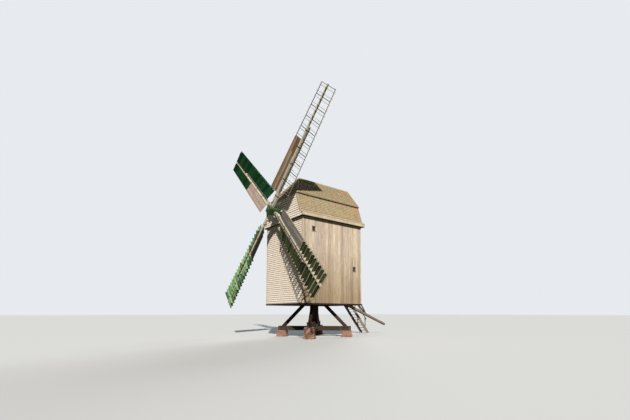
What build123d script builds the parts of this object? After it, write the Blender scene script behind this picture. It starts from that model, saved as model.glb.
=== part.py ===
from build123d import *

import os
from math import atan2, cos, hypot, radians, sin, tan

# A post mill: a boarded mill body that turns on an upright post, carried by a
# timber trestle on four brick piers, with four louvred sails at its front.
# Millimetres. The origin is the centre of the post at ground level, +Z is up
# and the sails are on the -Y side.

# Gaps
SEAT = 0.3
TURN_GAP = 12.0

# Trestle
TRESTLE_ANGLE = 45.0
PIER_WIDTH = 850.0
PIER_FOOT_STEP = 60.0
PIER_FOOT_HEIGHT = 180.0
PIER_HEIGHT = 560.0
CROSS_TREE_WIDTH = 380.0
CROSS_TREE_DEPTH = 400.0
CROSS_TREE_CHAMFER = 48.0
CROSS_TREE_OVERRUN = 370.0
PIER_CENTRE = 2980.0
QUARTER_BAR_WIDTH = 260.0
QUARTER_BAR_DEPTH = 300.0
QUARTER_BAR_PAST_PIER = 80.0
QUARTER_BAR_TOP = 3780.0
SADDLE_HEIGHT = 320.0
SADDLE_WIDTH = 260.0
SADDLE_CHAMFER = 86.0
POST_SQUARE = 700.0
POST_DIAMETER = 640.0
POST_TOP = 7000.0
HORN_LENGTH = 660.0
HORN_GAP = 4.0
PINTLE_DIAMETER = 140.0
PINTLE_LENGTH = 260.0

# Mill body
HALF_WIDTH = 2860.0
FRONT_Y = -3360.0
REAR_Y = 3200.0
BODY_BOTTOM = 2830.0
EAVE_Z = 10070.0
WALL = 180.0
FLOOR_BOARD = 60.0
SHEER_WIDTH = 240.0
SHEER_DEPTH = 360.0
SHEER_CLEAR = 60.0
CROWN_TREE_WIDTH = 560.0
CROWN_TREE_DEPTH = 600.0

# Small windows: an upper one near the front and a lower one near the rear
WINDOW_WIDTH = 260.0
WINDOW_HEIGHT = 380.0
UPPER_WINDOW_INSET = 1080.0
UPPER_WINDOW_DROP = 930.0
LOWER_WINDOW_INSET = 850.0
LOWER_WINDOW_RISE = 3250.0
CASEMENT_BORDER = 34.0
CASEMENT_DEPTH = 60.0
CASEMENT_SET_BACK = 60.0
PANE_THICKNESS = 8.0

# Gambrel roof: reaches from the side wall's face, and rises from the eave. Its
# front is hipped above the break, and its ridge reaches out over the rear gable
ROOF_THICKNESS = 90.0
EAVE_OVERHANG = 330.0
FASCIA_HEIGHT = 260.0
KICK_INSET = 30.0
KICK_RISE = 570.0
BREAK_INSET = 530.0
BREAK_RISE = 2060.0
UPPER_SLOPE_RISE = 2250.0
UPPER_SLOPE_LAP = 110.0
HIP_SET_BACK = 1850.0
RIDGE_OVERHANG = 770.0
GABLE_PROJECTION = 230.0
GABLE_THICKNESS = 100.0
VERGE_PROJECTION = 20.0
RIDGE_BOARD_WIDTH = 240.0
RIDGE_BOARD_THICKNESS = 36.0
SOFFIT_BOARD = 30.0
ROOF_FRAME_WIDTH = 200.0
ROOF_FRAME_DEPTH = 170.0
ROOF_FRAMES = 4

# Windshaft and poll end
HUB_REACH = 1190.0
HUB_RISE = 870.0
SHAFT_TILT = 4.0
POLL_SIDE = 640.0
POLL_LENGTH = 900.0
POLL_CHAMFER = 45.0
POLL_FLANGE_DIAMETER = 760.0
POLL_FLANGE_THICKNESS = 70.0
POLL_CAP_DIAMETER = 380.0
POLL_CAP_LENGTH = 90.0
POLL_CAP_TAPER = 12.0
NECK_DIAMETER = 300.0
NECK_SHOULDER_GAP = 65.0
NECK_HOLE_CLEAR = 30.0
SHAFT_DIAMETER = 520.0
SHAFT_SIDES = 12
TAIL_SHOULDER_GAP = 82.0
GUDGEON_DIAMETER = 120.0
GUDGEON_OVERRUN = 48.0
BEARING_GAP = 0.3
WEATHER_BEAM_INSET = 230.0
WEATHER_BEAM_WIDTH = 300.0
WEATHER_BEAM_DEPTH = 350.0
TAIL_BEAM_INSET = 560.0
TAIL_BEAM_WIDTH = 220.0
TAIL_BEAM_DEPTH = 180.0
BEARING_CHEEK = 80.0
BEARING_LENGTH = 200.0

# Sails, in the plane of each sail: r outwards, t to the leading side, n forwards.
# The rear stock's ends lean forwards, so that all four tips run in one plane, and
# the rails stand in front of or behind the whip, which gives a sail its twist
SAIL_ANGLE = 46.4
STOCK_WIDTH = 220.0
STOCK_DEPTH = 300.0
STOCK_TIP_DEPTH = 170.0
STOCK_SPACING = 380.0
STOCK_STRAIGHT = 700.0
STOCK_LENGTH = 7400.0
REAR_STOCK_LEAN = 2.9
WHIP_WIDTH = 130.0
WHIP_START = 820.0
WHIP_DEPTH = 150.0
WHIP_TIP_DEPTH = 96.0
SAIL_RADIUS = 10550.0
FRAME_TIP = 10450.0
SHUTTER_PITCH = 420.0
TRAILING_SHUTTERS = 20
LEADING_SHUTTERS = [10, 11, 14, 10]
SHUTTER_CHORD = 380.0
SHUTTER_THICKNESS = 14.0
SHUTTER_END_GAP = 22.0
SPINDLE_SIZE = 28.0
BAR_WIDTH = 45.0
BAR_DEPTH = 60.0
RAIL_WIDTH = 50.0
RAIL_DEPTH = 46.0
RAIL_OVERRUN = 50.0
LEADING_REACH = 1150.0
TRAILING_REACH = 1080.0
LEADING_RISE_TIP = 30.0
LEADING_RISE_ROOT = 230.0
TRAILING_RISE_TIP = -20.0
TRAILING_RISE_ROOT = -350.0
LEADING_BOARDS = 4
LEADING_BOARD_THICKNESS = 26.0
LEADING_BOARD_GAP = 14.0
LEADING_BOARD_START = 1620.0

# Rear door, platform, stair and tail pole
DOOR_X = -950.0
DOOR_WIDTH = 900.0
DOOR_HEIGHT = 1900.0
DOOR_THICKNESS = 50.0
PLATFORM_DEPTH = 850.0
PLATFORM_SIDE = 120.0
PLATFORM_BOARD = 45.0
BRACKET_WIDTH = 110.0
BRACKET_DROP = 760.0
BRACKET_BAND = 130.0
BRACKET_BRACE = 208.0
STAIR_RUN = 3650.0
STAIR_GROUND_GAP = 60.0
STRING_THICKNESS = 60.0
STRING_DEPTH = 280.0
TREADS = 15
TREAD_DEPTH = 235.0
TREAD_THICKNESS = 42.0
HANDRAIL_HEIGHT = 900.0
HANDRAIL_SIZE = 70.0
HANDRAIL_DEPTH = 110.0
HANDRAIL_RUN = 3140.0
HANDRAIL_POSTS = [130.0, 1570.0, 3010.0]
HANDRAIL_POST_INSET = 50.0
HANDRAIL_POST_FOOT = 80.0
TAIL_POLE_X = 250.0
TAIL_POLE_SIZE = 260.0
TAIL_POLE_TOP_Z = 3350.0
TAIL_POLE_REACH = 6100.0
TAIL_POLE_END_Z = 1050.0
TAIL_POLE_END_DEPTH = 195.0
STAY_SIZE = 100.0
STAY_FOOT_SPREAD = 78.0
STAY_FOOT_RISE = 70.0
STAY_REACH = 3100.0
STAY_WALL_Z = 5900.0
STAY_WALL_SPREAD = 700.0

# Values that follow from the ones above
CROSS_TREE_HALF_LENGTH = PIER_CENTRE + CROSS_TREE_OVERRUN
QUARTER_BAR_FOOT = PIER_CENTRE + QUARTER_BAR_PAST_PIER
INNER_X = HALF_WIDTH - WALL
INNER_FRONT_Y = FRONT_Y + WALL
INNER_REAR_Y = REAR_Y - WALL
GABLE_FACE_Y = FRONT_Y - GABLE_PROJECTION
REAR_GABLE_FACE_Y = REAR_Y + GABLE_PROJECTION
LOWER_TREE_TOP = PIER_HEIGHT + CROSS_TREE_DEPTH
UPPER_TREE_TOP = LOWER_TREE_TOP + CROSS_TREE_DEPTH
HORN_BOTTOM = UPPER_TREE_TOP - HORN_LENGTH
SADDLE_TOP = QUARTER_BAR_TOP + SADDLE_HEIGHT
SHEER_BOTTOM = SADDLE_TOP + TURN_GAP
SHEER_TOP = SHEER_BOTTOM + SHEER_DEPTH
SHEER_X = POST_DIAMETER / 2 + SHEER_CLEAR + SHEER_WIDTH / 2
CROWN_TREE_TOP = POST_TOP + SEAT + CROWN_TREE_DEPTH
UPPER_FLOOR_TOP = CROWN_TREE_TOP + FLOOR_BOARD
UPPER_WINDOW_Z = EAVE_Z - UPPER_WINDOW_DROP
LOWER_WINDOW_Z = BODY_BOTTOM + LOWER_WINDOW_RISE
SIDE_WINDOWS = [
    (FRONT_Y + UPPER_WINDOW_INSET, UPPER_WINDOW_Z),
    (REAR_Y - LOWER_WINDOW_INSET, LOWER_WINDOW_Z),
]
REAR_WINDOW = (0.0, UPPER_WINDOW_Z)
EAVE = (HALF_WIDTH + EAVE_OVERHANG, EAVE_Z)
FASCIA = (HALF_WIDTH + EAVE_OVERHANG, EAVE_Z + FASCIA_HEIGHT)
KICK = (HALF_WIDTH - KICK_INSET, EAVE_Z + KICK_RISE)
BREAK = (HALF_WIDTH - BREAK_INSET, EAVE_Z + BREAK_RISE)
RIDGE_UNDERSIDE = (0.0, BREAK[1] + UPPER_SLOPE_RISE)
HUB_Y = FRONT_Y - HUB_REACH
HUB_Z = EAVE_Z + HUB_RISE
WEATHER_BEAM_Y = FRONT_Y + WEATHER_BEAM_INSET
TAIL_BEAM_Y = REAR_Y - TAIL_BEAM_INSET
TILT = radians(SHAFT_TILT)
HUB = Vector(0, HUB_Y, HUB_Z)
SHAFT_FORWARD = Vector(0, -cos(TILT), sin(TILT))
SHAFT_UP = Vector(0, sin(TILT), cos(TILT))
NECK_END = (WEATHER_BEAM_Y - HUB_Y) / cos(TILT) + BEARING_LENGTH / 2 + NECK_SHOULDER_GAP
TAIL_BEARING_R = (TAIL_BEAM_Y - HUB_Y) / cos(TILT)
SHAFT_END = TAIL_BEARING_R - BEARING_LENGTH / 2 - TAIL_SHOULDER_GAP
GUDGEON_END = TAIL_BEARING_R + BEARING_LENGTH / 2 + GUDGEON_OVERRUN
WHIP_OUTER = STOCK_WIDTH / 2 + SEAT + WHIP_WIDTH
FRAME_ROOT = FRAME_TIP - TRAILING_SHUTTERS * SHUTTER_PITCH
BOARD_TWIST = (LEADING_RISE_ROOT - LEADING_RISE_TIP) / (FRAME_TIP - FRAME_ROOT)
BOARD_LIFT = BOARD_TWIST * BAR_WIDTH / 2


def shaft_height(y):
    """Height of the windshaft's centre line where it passes a given y."""
    return HUB_Z - (y - HUB_Y) * tan(TILT)


def meeting(p, q, a, b):
    """Point where the line through p and q meets the line through a and b."""
    dx, dz = q[0] - p[0], q[1] - p[1]
    ex, ez = b[0] - a[0], b[1] - a[1]
    share = ((a[0] - p[0]) * ez - (a[1] - p[1]) * ex) / (dx * ez - dz * ex)
    return (p[0] + share * dx, p[1] + share * dz)


def shifted(p, q, distance):
    """The line from p to q, moved to its left-hand side by a distance."""
    length = hypot(q[0] - p[0], q[1] - p[1])
    nx, nz = -(q[1] - p[1]) / length, (q[0] - p[0]) / length
    return [(c[0] + nx * distance, c[1] + nz * distance) for c in (p, q)]


def inside_line(points, distance):
    """A bent line that keeps one distance from another, on its left."""
    runs = [shifted(p, q, distance) for p, q in zip(points, points[1:])]
    corners = [meeting(*runs[i], *runs[i + 1]) for i in range(len(runs) - 1)]
    return [runs[0][0], *corners, runs[-1][1]]


def save(piece, name):
    """Label a finished piece and write it to its own file."""
    piece.part.label = name
    export_step(piece.part, f"parts/{name}.step")


def beam(x, y, z):
    """A straight timber or plate between two x, two y and two z values."""
    with BuildPart() as piece:
        with BuildSketch(Plane.XY.offset(z[0])):
            with Locations(((x[0] + x[1]) / 2, (y[0] + y[1]) / 2)):
                Rectangle(x[1] - x[0], y[1] - y[0])
        extrude(amount=z[1] - z[0])
    return piece


def prism(plane, points, thickness):
    """A flat shape with straight edges, drawn on a plane and given a thickness."""
    with BuildPart() as piece:
        with BuildSketch(plane):
            with BuildLine():
                Polyline(*points, close=True)
            make_face()
        extrude(amount=thickness)
    return piece


os.makedirs("parts", exist_ok=True)


# Trestle
def arm_plane(index):
    """Upright plane along one of the four arms of the trestle, x pointing outwards."""
    angle = radians(TRESTLE_ANGLE + 90.0 * index)
    outwards = Vector(cos(angle), sin(angle), 0)
    return Plane(origin=(0, 0, 0), x_dir=outwards, z_dir=Vector(sin(angle), -cos(angle), 0))


def pier_top(index):
    """The piers of the upper cross tree are taller by one cross tree."""
    return PIER_HEIGHT + CROSS_TREE_DEPTH * (index % 2)


TRESTLE_PLANE = Plane.XY.rotated((0, 0, TRESTLE_ANGLE))

with BuildPart() as brick_piers:
    for index in range(4):
        angle = radians(TRESTLE_ANGLE + 90.0 * index)
        spot = (PIER_CENTRE * cos(angle), PIER_CENTRE * sin(angle))
        with BuildSketch():
            with Locations(Location((*spot, 0), (0, 0, TRESTLE_ANGLE))):
                Rectangle(PIER_WIDTH + 2 * PIER_FOOT_STEP, PIER_WIDTH + 2 * PIER_FOOT_STEP)
        extrude(amount=PIER_FOOT_HEIGHT)
        with BuildSketch(Plane.XY.offset(PIER_FOOT_HEIGHT)):
            with Locations(Location((*spot, 0), (0, 0, TRESTLE_ANGLE))):
                Rectangle(PIER_WIDTH, PIER_WIDTH)
        extrude(amount=pier_top(index) - PIER_FOOT_HEIGHT)
save(brick_piers, "brick_piers")

for name, turn, bottom in (
    ("lower_cross_tree", 0, PIER_HEIGHT),
    ("upper_cross_tree", 1, LOWER_TREE_TOP),
):
    with BuildPart() as cross_tree:
        with BuildSketch(Plane.XY.rotated((0, 0, TRESTLE_ANGLE + 90 * turn)).offset(bottom)):
            Rectangle(2 * CROSS_TREE_HALF_LENGTH, CROSS_TREE_WIDTH)
        extrude(amount=CROSS_TREE_DEPTH)
        ends = cross_tree.edges().filter_by(Axis.Z)
        chamfer(ends, length=CROSS_TREE_CHAMFER)
    save(cross_tree, name)

# Each quarter bar stands on its cross tree and leans against the square post
with BuildPart() as quarter_bars:
    for index in range(4):
        foot_z = pier_top(index) + CROSS_TREE_DEPTH
        head_r = POST_SQUARE / 2
        lean = atan2(QUARTER_BAR_TOP - foot_z, QUARTER_BAR_FOOT - head_r)
        foot_length = QUARTER_BAR_DEPTH / sin(lean)
        head_length = QUARTER_BAR_DEPTH / cos(lean)
        with BuildSketch(arm_plane(index).offset(-QUARTER_BAR_WIDTH / 2)):
            with BuildLine():
                Polyline(
                    (QUARTER_BAR_FOOT, foot_z),
                    (head_r, QUARTER_BAR_TOP),
                    (head_r, QUARTER_BAR_TOP - head_length),
                    (QUARTER_BAR_FOOT - foot_length, foot_z),
                    close=True,
                )
            make_face()
        extrude(amount=QUARTER_BAR_WIDTH)
save(quarter_bars, "quarter_bars")

# The post is square where the bars meet it, with four horns that straddle
# the cross trees, and round where it passes up through the mill body
with BuildPart() as main_post:
    with BuildSketch(TRESTLE_PLANE.offset(UPPER_TREE_TOP)):
        Rectangle(POST_SQUARE, POST_SQUARE)
    extrude(amount=QUARTER_BAR_TOP - UPPER_TREE_TOP)
    with BuildSketch(TRESTLE_PLANE.offset(HORN_BOTTOM)):
        Rectangle(POST_SQUARE, POST_SQUARE)
        Rectangle(POST_SQUARE, CROSS_TREE_WIDTH + 2 * HORN_GAP, mode=Mode.SUBTRACT)
        Rectangle(CROSS_TREE_WIDTH + 2 * HORN_GAP, POST_SQUARE, mode=Mode.SUBTRACT)
    extrude(amount=UPPER_TREE_TOP - HORN_BOTTOM)
    with BuildSketch(TRESTLE_PLANE.offset(QUARTER_BAR_TOP)):
        Circle(POST_DIAMETER / 2)
    extrude(amount=POST_TOP - QUARTER_BAR_TOP)
save(main_post, "main_post")

with BuildPart() as post_pintle:
    with BuildSketch(Plane.XY.offset(POST_TOP)):
        Circle(PINTLE_DIAMETER / 2)
    extrude(amount=PINTLE_LENGTH)
save(post_pintle, "post_pintle")

with BuildPart() as saddle_ring:
    with BuildSketch(TRESTLE_PLANE.offset(QUARTER_BAR_TOP + SEAT)):
        Rectangle(POST_SQUARE + 2 * SADDLE_WIDTH, POST_SQUARE + 2 * SADDLE_WIDTH)
        Circle(POST_DIAMETER / 2 + SEAT, mode=Mode.SUBTRACT)
    extrude(amount=SADDLE_HEIGHT - SEAT)
    chamfer(saddle_ring.edges().filter_by(Axis.Z), length=SADDLE_CHAMFER)
save(saddle_ring, "saddle_ring")

# Floors and main beams of the mill body
with BuildPart() as crown_tree:
    with BuildSketch(Plane.XY.offset(POST_TOP + SEAT)):
        Rectangle(2 * (INNER_X - SEAT), CROWN_TREE_WIDTH)
    extrude(amount=CROWN_TREE_DEPTH)
    with BuildSketch(Plane.XY.offset(POST_TOP + SEAT)):
        Circle(PINTLE_DIAMETER / 2 + SEAT)
    extrude(amount=PINTLE_LENGTH + SEAT, mode=Mode.SUBTRACT)
save(crown_tree, "crown_tree")

with BuildPart() as floor_sheers:
    with BuildSketch(Plane.XY.offset(SHEER_BOTTOM)):
        with Locations(
            (-SHEER_X, (INNER_FRONT_Y + INNER_REAR_Y) / 2),
            (SHEER_X, (INNER_FRONT_Y + INNER_REAR_Y) / 2),
        ):
            Rectangle(SHEER_WIDTH, INNER_REAR_Y - INNER_FRONT_Y - 2 * SEAT)
    extrude(amount=SHEER_DEPTH)
save(floor_sheers, "floor_sheers")


def floor_boards(top):
    """A boarded floor that fills the mill body between its walls."""
    gap = SEAT
    return beam(
        (-INNER_X + gap, INNER_X - gap),
        (INNER_FRONT_Y + gap, INNER_REAR_Y - gap),
        (top - FLOOR_BOARD, top),
    )


with BuildPart() as lower_floor:
    add(floor_boards(SHEER_TOP + FLOOR_BOARD).part)
    with BuildSketch(Plane.XY.offset(SHEER_TOP)):
        Circle(POST_DIAMETER / 2 + TURN_GAP)
    extrude(amount=FLOOR_BOARD, mode=Mode.SUBTRACT)
save(lower_floor, "lower_floor")
save(floor_boards(UPPER_FLOOR_TOP), "upper_floor")


# Walls
def side_wall(outer_x, inner_x):
    """A long wall with its two small windows cut through."""
    with BuildPart() as wall:
        with BuildSketch(Plane.YZ.offset(min(outer_x, inner_x))):
            with Locations(((FRONT_Y + REAR_Y) / 2, (BODY_BOTTOM + EAVE_Z) / 2)):
                Rectangle(REAR_Y - FRONT_Y, EAVE_Z - BODY_BOTTOM)
            with Locations(*SIDE_WINDOWS):
                Rectangle(WINDOW_WIDTH, WINDOW_HEIGHT, mode=Mode.SUBTRACT)
        extrude(amount=WALL)
    return wall


save(side_wall(HALF_WIDTH, INNER_X), "right_wall")
save(side_wall(-HALF_WIDTH, -INNER_X), "left_wall")

WALL_FIT_X = INNER_X - SEAT
save(beam((-WALL_FIT_X, WALL_FIT_X), (FRONT_Y, INNER_FRONT_Y), (BODY_BOTTOM, EAVE_Z)), "front_wall")

DOOR_SILL = SHEER_TOP + FLOOR_BOARD
with BuildPart() as rear_wall:
    with BuildSketch(Plane.XZ.offset(-REAR_Y)):
        with Locations((0, (BODY_BOTTOM + EAVE_Z) / 2)):
            Rectangle(2 * WALL_FIT_X, EAVE_Z - BODY_BOTTOM)
        with Locations((DOOR_X, DOOR_SILL + DOOR_HEIGHT / 2)):
            Rectangle(DOOR_WIDTH, DOOR_HEIGHT, mode=Mode.SUBTRACT)
        with Locations(REAR_WINDOW):
            Rectangle(WINDOW_WIDTH, WINDOW_HEIGHT, mode=Mode.SUBTRACT)
    extrude(amount=WALL)
save(rear_wall, "rear_wall")

with BuildPart() as rear_door:
    with BuildSketch(Plane.XZ.offset(-REAR_Y + CASEMENT_SET_BACK)):
        with Locations((DOOR_X, DOOR_SILL + DOOR_HEIGHT / 2)):
            Rectangle(DOOR_WIDTH - 2 * SEAT, DOOR_HEIGHT - 2 * SEAT)
    extrude(amount=DOOR_THICKNESS)
save(rear_door, "rear_door")


# Small casements: a border of wood round one pane, in each window opening
def window_planes():
    """A plane on the outer wall face behind each window, z pointing outwards."""
    planes = []
    for along, height in SIDE_WINDOWS:
        for side in (1, -1):
            spot = (side * HALF_WIDTH, along, height)
            planes.append(Plane(origin=spot, x_dir=(0, side, 0), z_dir=(side, 0, 0)))
    rear_spot = (REAR_WINDOW[0], REAR_Y, REAR_WINDOW[1])
    planes.append(Plane(origin=rear_spot, x_dir=(-1, 0, 0), z_dir=(0, 1, 0)))
    return planes


with BuildPart() as window_casements:
    for plane in window_planes():
        with BuildSketch(plane.offset(-CASEMENT_SET_BACK)):
            Rectangle(WINDOW_WIDTH - 2 * SEAT, WINDOW_HEIGHT - 2 * SEAT)
            Rectangle(
                WINDOW_WIDTH - 2 * CASEMENT_BORDER,
                WINDOW_HEIGHT - 2 * CASEMENT_BORDER,
                mode=Mode.SUBTRACT,
            )
        extrude(amount=-CASEMENT_DEPTH)
save(window_casements, "window_casements")

with BuildPart() as window_panes:
    for plane in window_planes():
        with BuildSketch(plane.offset(-CASEMENT_SET_BACK - CASEMENT_DEPTH / 2)):
            Rectangle(
                WINDOW_WIDTH - 2 * CASEMENT_BORDER - 2 * SEAT,
                WINDOW_HEIGHT - 2 * CASEMENT_BORDER - 2 * SEAT,
            )
        extrude(amount=PANE_THICKNESS)
save(window_panes, "window_panes")

# Roof
ROOF_FRONT_Y = GABLE_FACE_Y - VERGE_PROJECTION
ROOF_REAR_Y = REAR_GABLE_FACE_Y + VERGE_PROJECTION
RIDGE_END_Y = ROOF_REAR_Y + RIDGE_OVERHANG
ROOF_LENGTH = RIDGE_END_Y - ROOF_FRONT_Y
ROOF_START = Plane.XZ.offset(-RIDGE_END_Y)

lower_outside = [EAVE, FASCIA, KICK, BREAK]
lower_inside = inside_line(lower_outside, ROOF_THICKNESS)
break_inside = meeting(lower_inside[2], lower_inside[3], BREAK, RIDGE_UNDERSIDE)
pitch = atan2(UPPER_SLOPE_RISE, BREAK[0])
lap_x = BREAK[0] + UPPER_SLOPE_LAP * cos(pitch)
lap_z = BREAK[1] - UPPER_SLOPE_LAP * sin(pitch)
lap_top = (lap_x + ROOF_THICKNESS * sin(pitch), lap_z + ROOF_THICKNESS * cos(pitch))
ridge_top = (0.0, RIDGE_UNDERSIDE[1] + ROOF_THICKNESS / cos(pitch))

flare_outline = [EAVE, FASCIA, KICK, lower_inside[2], lower_inside[1], lower_inside[0]]
lower_outline = [KICK, BREAK, break_inside, lower_inside[2]]
upper_outline = [(lap_x, lap_z), lap_top, ridge_top, RIDGE_UNDERSIDE]


# The roof from the side, as (y, z): the front leans back from the break to the
# ridge, and the rear verges lean out from the break to the ridge
hip_foot = (ROOF_FRONT_Y, BREAK[1])
hip_head = (ROOF_FRONT_Y + HIP_SET_BACK, ridge_top[1])
verge_foot = (ROOF_REAR_Y, BREAK[1])
verge_head = (RIDGE_END_Y, ridge_top[1])
foot_line = ((0, BREAK[1]), (1, BREAK[1]))
top_line = ((0, ridge_top[1] + ROOF_THICKNESS), (1, ridge_top[1] + ROOF_THICKNESS))
side_outline = [
    (ROOF_FRONT_Y, EAVE_Z),
    hip_foot,
    meeting(hip_foot, hip_head, *top_line),
    meeting(verge_foot, verge_head, *top_line),
    verge_foot,
    (ROOF_REAR_Y, EAVE_Z),
]


def mirrored(points):
    """The same outline on the other side of the ridge."""
    return [(-x, z) for x, z in points]


def roof_strip(outline):
    """A part of the roof that runs along the ridge and stops at the roof's ends."""
    with BuildPart() as strip:
        add(prism(ROOF_START, outline, ROOF_LENGTH).part)
        add(prism(Plane.YZ.offset(-EAVE[0]), side_outline, 2 * EAVE[0]).part, mode=Mode.INTERSECT)
    return strip


for side, turned in (("right", list), ("left", mirrored)):
    save(roof_strip(turned(flare_outline)), f"{side}_eave_flare")
    save(roof_strip(turned(lower_outline)), f"{side}_lower_slope")
    save(roof_strip(turned(upper_outline)), f"{side}_upper_slope")

ridge_foot = RIDGE_BOARD_WIDTH * cos(pitch)
ridge_drop = RIDGE_BOARD_WIDTH * sin(pitch)
ridge_base = ridge_top[1] + SEAT / cos(pitch)
ridge_rise = RIDGE_BOARD_THICKNESS / cos(pitch)
ridge_outline = [
    (-ridge_foot, ridge_base - ridge_drop),
    (0, ridge_base),
    (ridge_foot, ridge_base - ridge_drop),
    (ridge_foot, ridge_base - ridge_drop + ridge_rise),
    (0, ridge_base + ridge_rise),
    (-ridge_foot, ridge_base - ridge_drop + ridge_rise),
]
save(roof_strip(ridge_outline), "ridge_board")

# Gables fill the roof's ends and stand forward of the walls below them. The
# front one ends at the break, where the hip stands on it
gable_edge = inside_line(lower_outside, ROOF_THICKNESS + SEAT)
gable_ridge = (0.0, RIDGE_UNDERSIDE[1] - SEAT / cos(pitch))
gable_lap = (lap_x, lap_z - SEAT / cos(pitch))
gable_shoulder = meeting(gable_edge[2], gable_edge[3], gable_lap, gable_ridge)
gable_half = [gable_edge[0], gable_edge[1], gable_edge[2], gable_shoulder, gable_ridge]
gable_outline = gable_half + mirrored(gable_half[:-1])[::-1]
gable_top_line = ((0, BREAK[1] - SEAT), (1, BREAK[1] - SEAT))
front_half = [*gable_edge[:3], meeting(gable_edge[2], gable_edge[3], *gable_top_line)]
front_outline = front_half + mirrored(front_half)[::-1]

with BuildPart() as front_gable:
    gable_back = Plane.XZ.offset(-GABLE_FACE_Y - GABLE_THICKNESS)
    add(prism(gable_back, front_outline, GABLE_THICKNESS).part)
    neck_z = shaft_height(GABLE_FACE_Y + GABLE_THICKNESS / 2)
    with BuildSketch(Plane.XZ.offset(-GABLE_FACE_Y)):
        with Locations((0, neck_z)):
            Circle(NECK_DIAMETER / 2 + NECK_HOLE_CLEAR)
    extrude(amount=-GABLE_THICKNESS, mode=Mode.SUBTRACT)
save(front_gable, "front_gable")
save(prism(Plane.XZ.offset(-REAR_GABLE_FACE_Y), gable_outline, GABLE_THICKNESS), "rear_gable")

# The hip fills the triangle between the upper slopes
hip_inside = shifted(hip_foot, hip_head, -ROOF_THICKNESS)
hip_section = [
    hip_foot,
    meeting(hip_foot, hip_head, *top_line),
    meeting(*hip_inside, *top_line),
    meeting(*hip_inside, *foot_line),
]
hip_corner = meeting(gable_edge[2], gable_edge[3], *foot_line)
hip_half = [hip_corner, gable_shoulder, gable_ridge]
hip_outline = hip_half + mirrored(hip_half[:-1])[::-1]
with BuildPart() as front_hip:
    add(prism(Plane.YZ.offset(-BREAK[0]), hip_section, 2 * BREAK[0]).part)
    add(prism(ROOF_START, hip_outline, ROOF_LENGTH).part, mode=Mode.INTERSECT)
save(front_hip, "front_hip")

# Roof frames: rafters that stand on the side walls and carry the slopes, the
# first one cut off under the hip
frame_feet = [(HALF_WIDTH - SEAT, EAVE_Z + SEAT), gable_edge[2], gable_shoulder, gable_ridge]
frame_inner = inside_line(frame_feet, ROOF_FRAME_DEPTH)
floor_line = ((0, EAVE_Z + SEAT), (1, EAVE_Z + SEAT))
middle_line = ((0, 0), (0, 1))
frame_inner[0] = meeting(frame_inner[0], frame_inner[1], *floor_line)
frame_inner[-1] = meeting(frame_inner[-2], frame_inner[-1], *middle_line)
frame_half = frame_feet + frame_inner[::-1]
first_frame_y = GABLE_FACE_Y + GABLE_THICKNESS + SEAT
last_frame_y = REAR_GABLE_FACE_Y - GABLE_THICKNESS - SEAT - ROOF_FRAME_WIDTH
frame_step = (last_frame_y - first_frame_y) / (ROOF_FRAMES - 1)

with BuildPart() as roof_frames:
    for index in range(ROOF_FRAMES):
        start = first_frame_y + index * frame_step + ROOF_FRAME_WIDTH
        with BuildSketch(Plane.XZ.offset(-start)):
            with BuildLine():
                Polyline(*frame_half, close=True)
            make_face()
            mirror(about=Plane.YZ)
        extrude(amount=ROOF_FRAME_WIDTH)
    under_hip = shifted(hip_foot, hip_head, -ROOF_THICKNESS - SEAT)
    eave_line = ((0, EAVE_Z), (1, EAVE_Z))
    frame_side = [
        meeting(*under_hip, *eave_line),
        meeting(*under_hip, *top_line),
        (REAR_GABLE_FACE_Y, top_line[0][1]),
        (REAR_GABLE_FACE_Y, EAVE_Z),
    ]
    add(prism(Plane.YZ.offset(-EAVE[0]), frame_side, 2 * EAVE[0]).part, mode=Mode.INTERSECT)
save(roof_frames, "roof_frames")

with BuildPart() as eave_soffits:
    soffit_x = (HALF_WIDTH + SEAT, lower_inside[0][0] - SEAT)
    soffit_y = (GABLE_FACE_Y + GABLE_THICKNESS + SEAT, REAR_GABLE_FACE_Y - GABLE_THICKNESS - SEAT)
    soffit_top_line = ((0, EAVE_Z + SOFFIT_BOARD), (1, EAVE_Z + SOFFIT_BOARD))
    frame_gap_x = meeting(frame_inner[0], frame_inner[1], *soffit_top_line)[0] - SEAT
    with BuildSketch(Plane.XY.offset(EAVE_Z)):
        for side in (1, -1):
            with Locations((side * sum(soffit_x) / 2, sum(soffit_y) / 2)):
                Rectangle(soffit_x[1] - soffit_x[0], soffit_y[1] - soffit_y[0])
        for wall_y, gable_y in ((FRONT_Y - SEAT, soffit_y[0]), (REAR_Y + SEAT, soffit_y[1])):
            with Locations((0, (wall_y + gable_y) / 2)):
                Rectangle(2 * frame_gap_x, abs(wall_y - gable_y))
    extrude(amount=SOFFIT_BOARD)
save(eave_soffits, "eave_soffits")

# Beams and bearings of the windshaft
BEAM_END_X = HALF_WIDTH - SEAT
with BuildPart() as shaft_beams:
    for centre_y, width, depth in (
        (WEATHER_BEAM_Y, WEATHER_BEAM_WIDTH, WEATHER_BEAM_DEPTH),
        (TAIL_BEAM_Y, TAIL_BEAM_WIDTH, TAIL_BEAM_DEPTH),
    ):
        with BuildSketch(Plane.XY.offset(EAVE_Z + SEAT)):
            with Locations((0, centre_y)):
                Rectangle(2 * BEAM_END_X, width)
        extrude(amount=depth)
save(shaft_beams, "shaft_beams")

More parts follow.
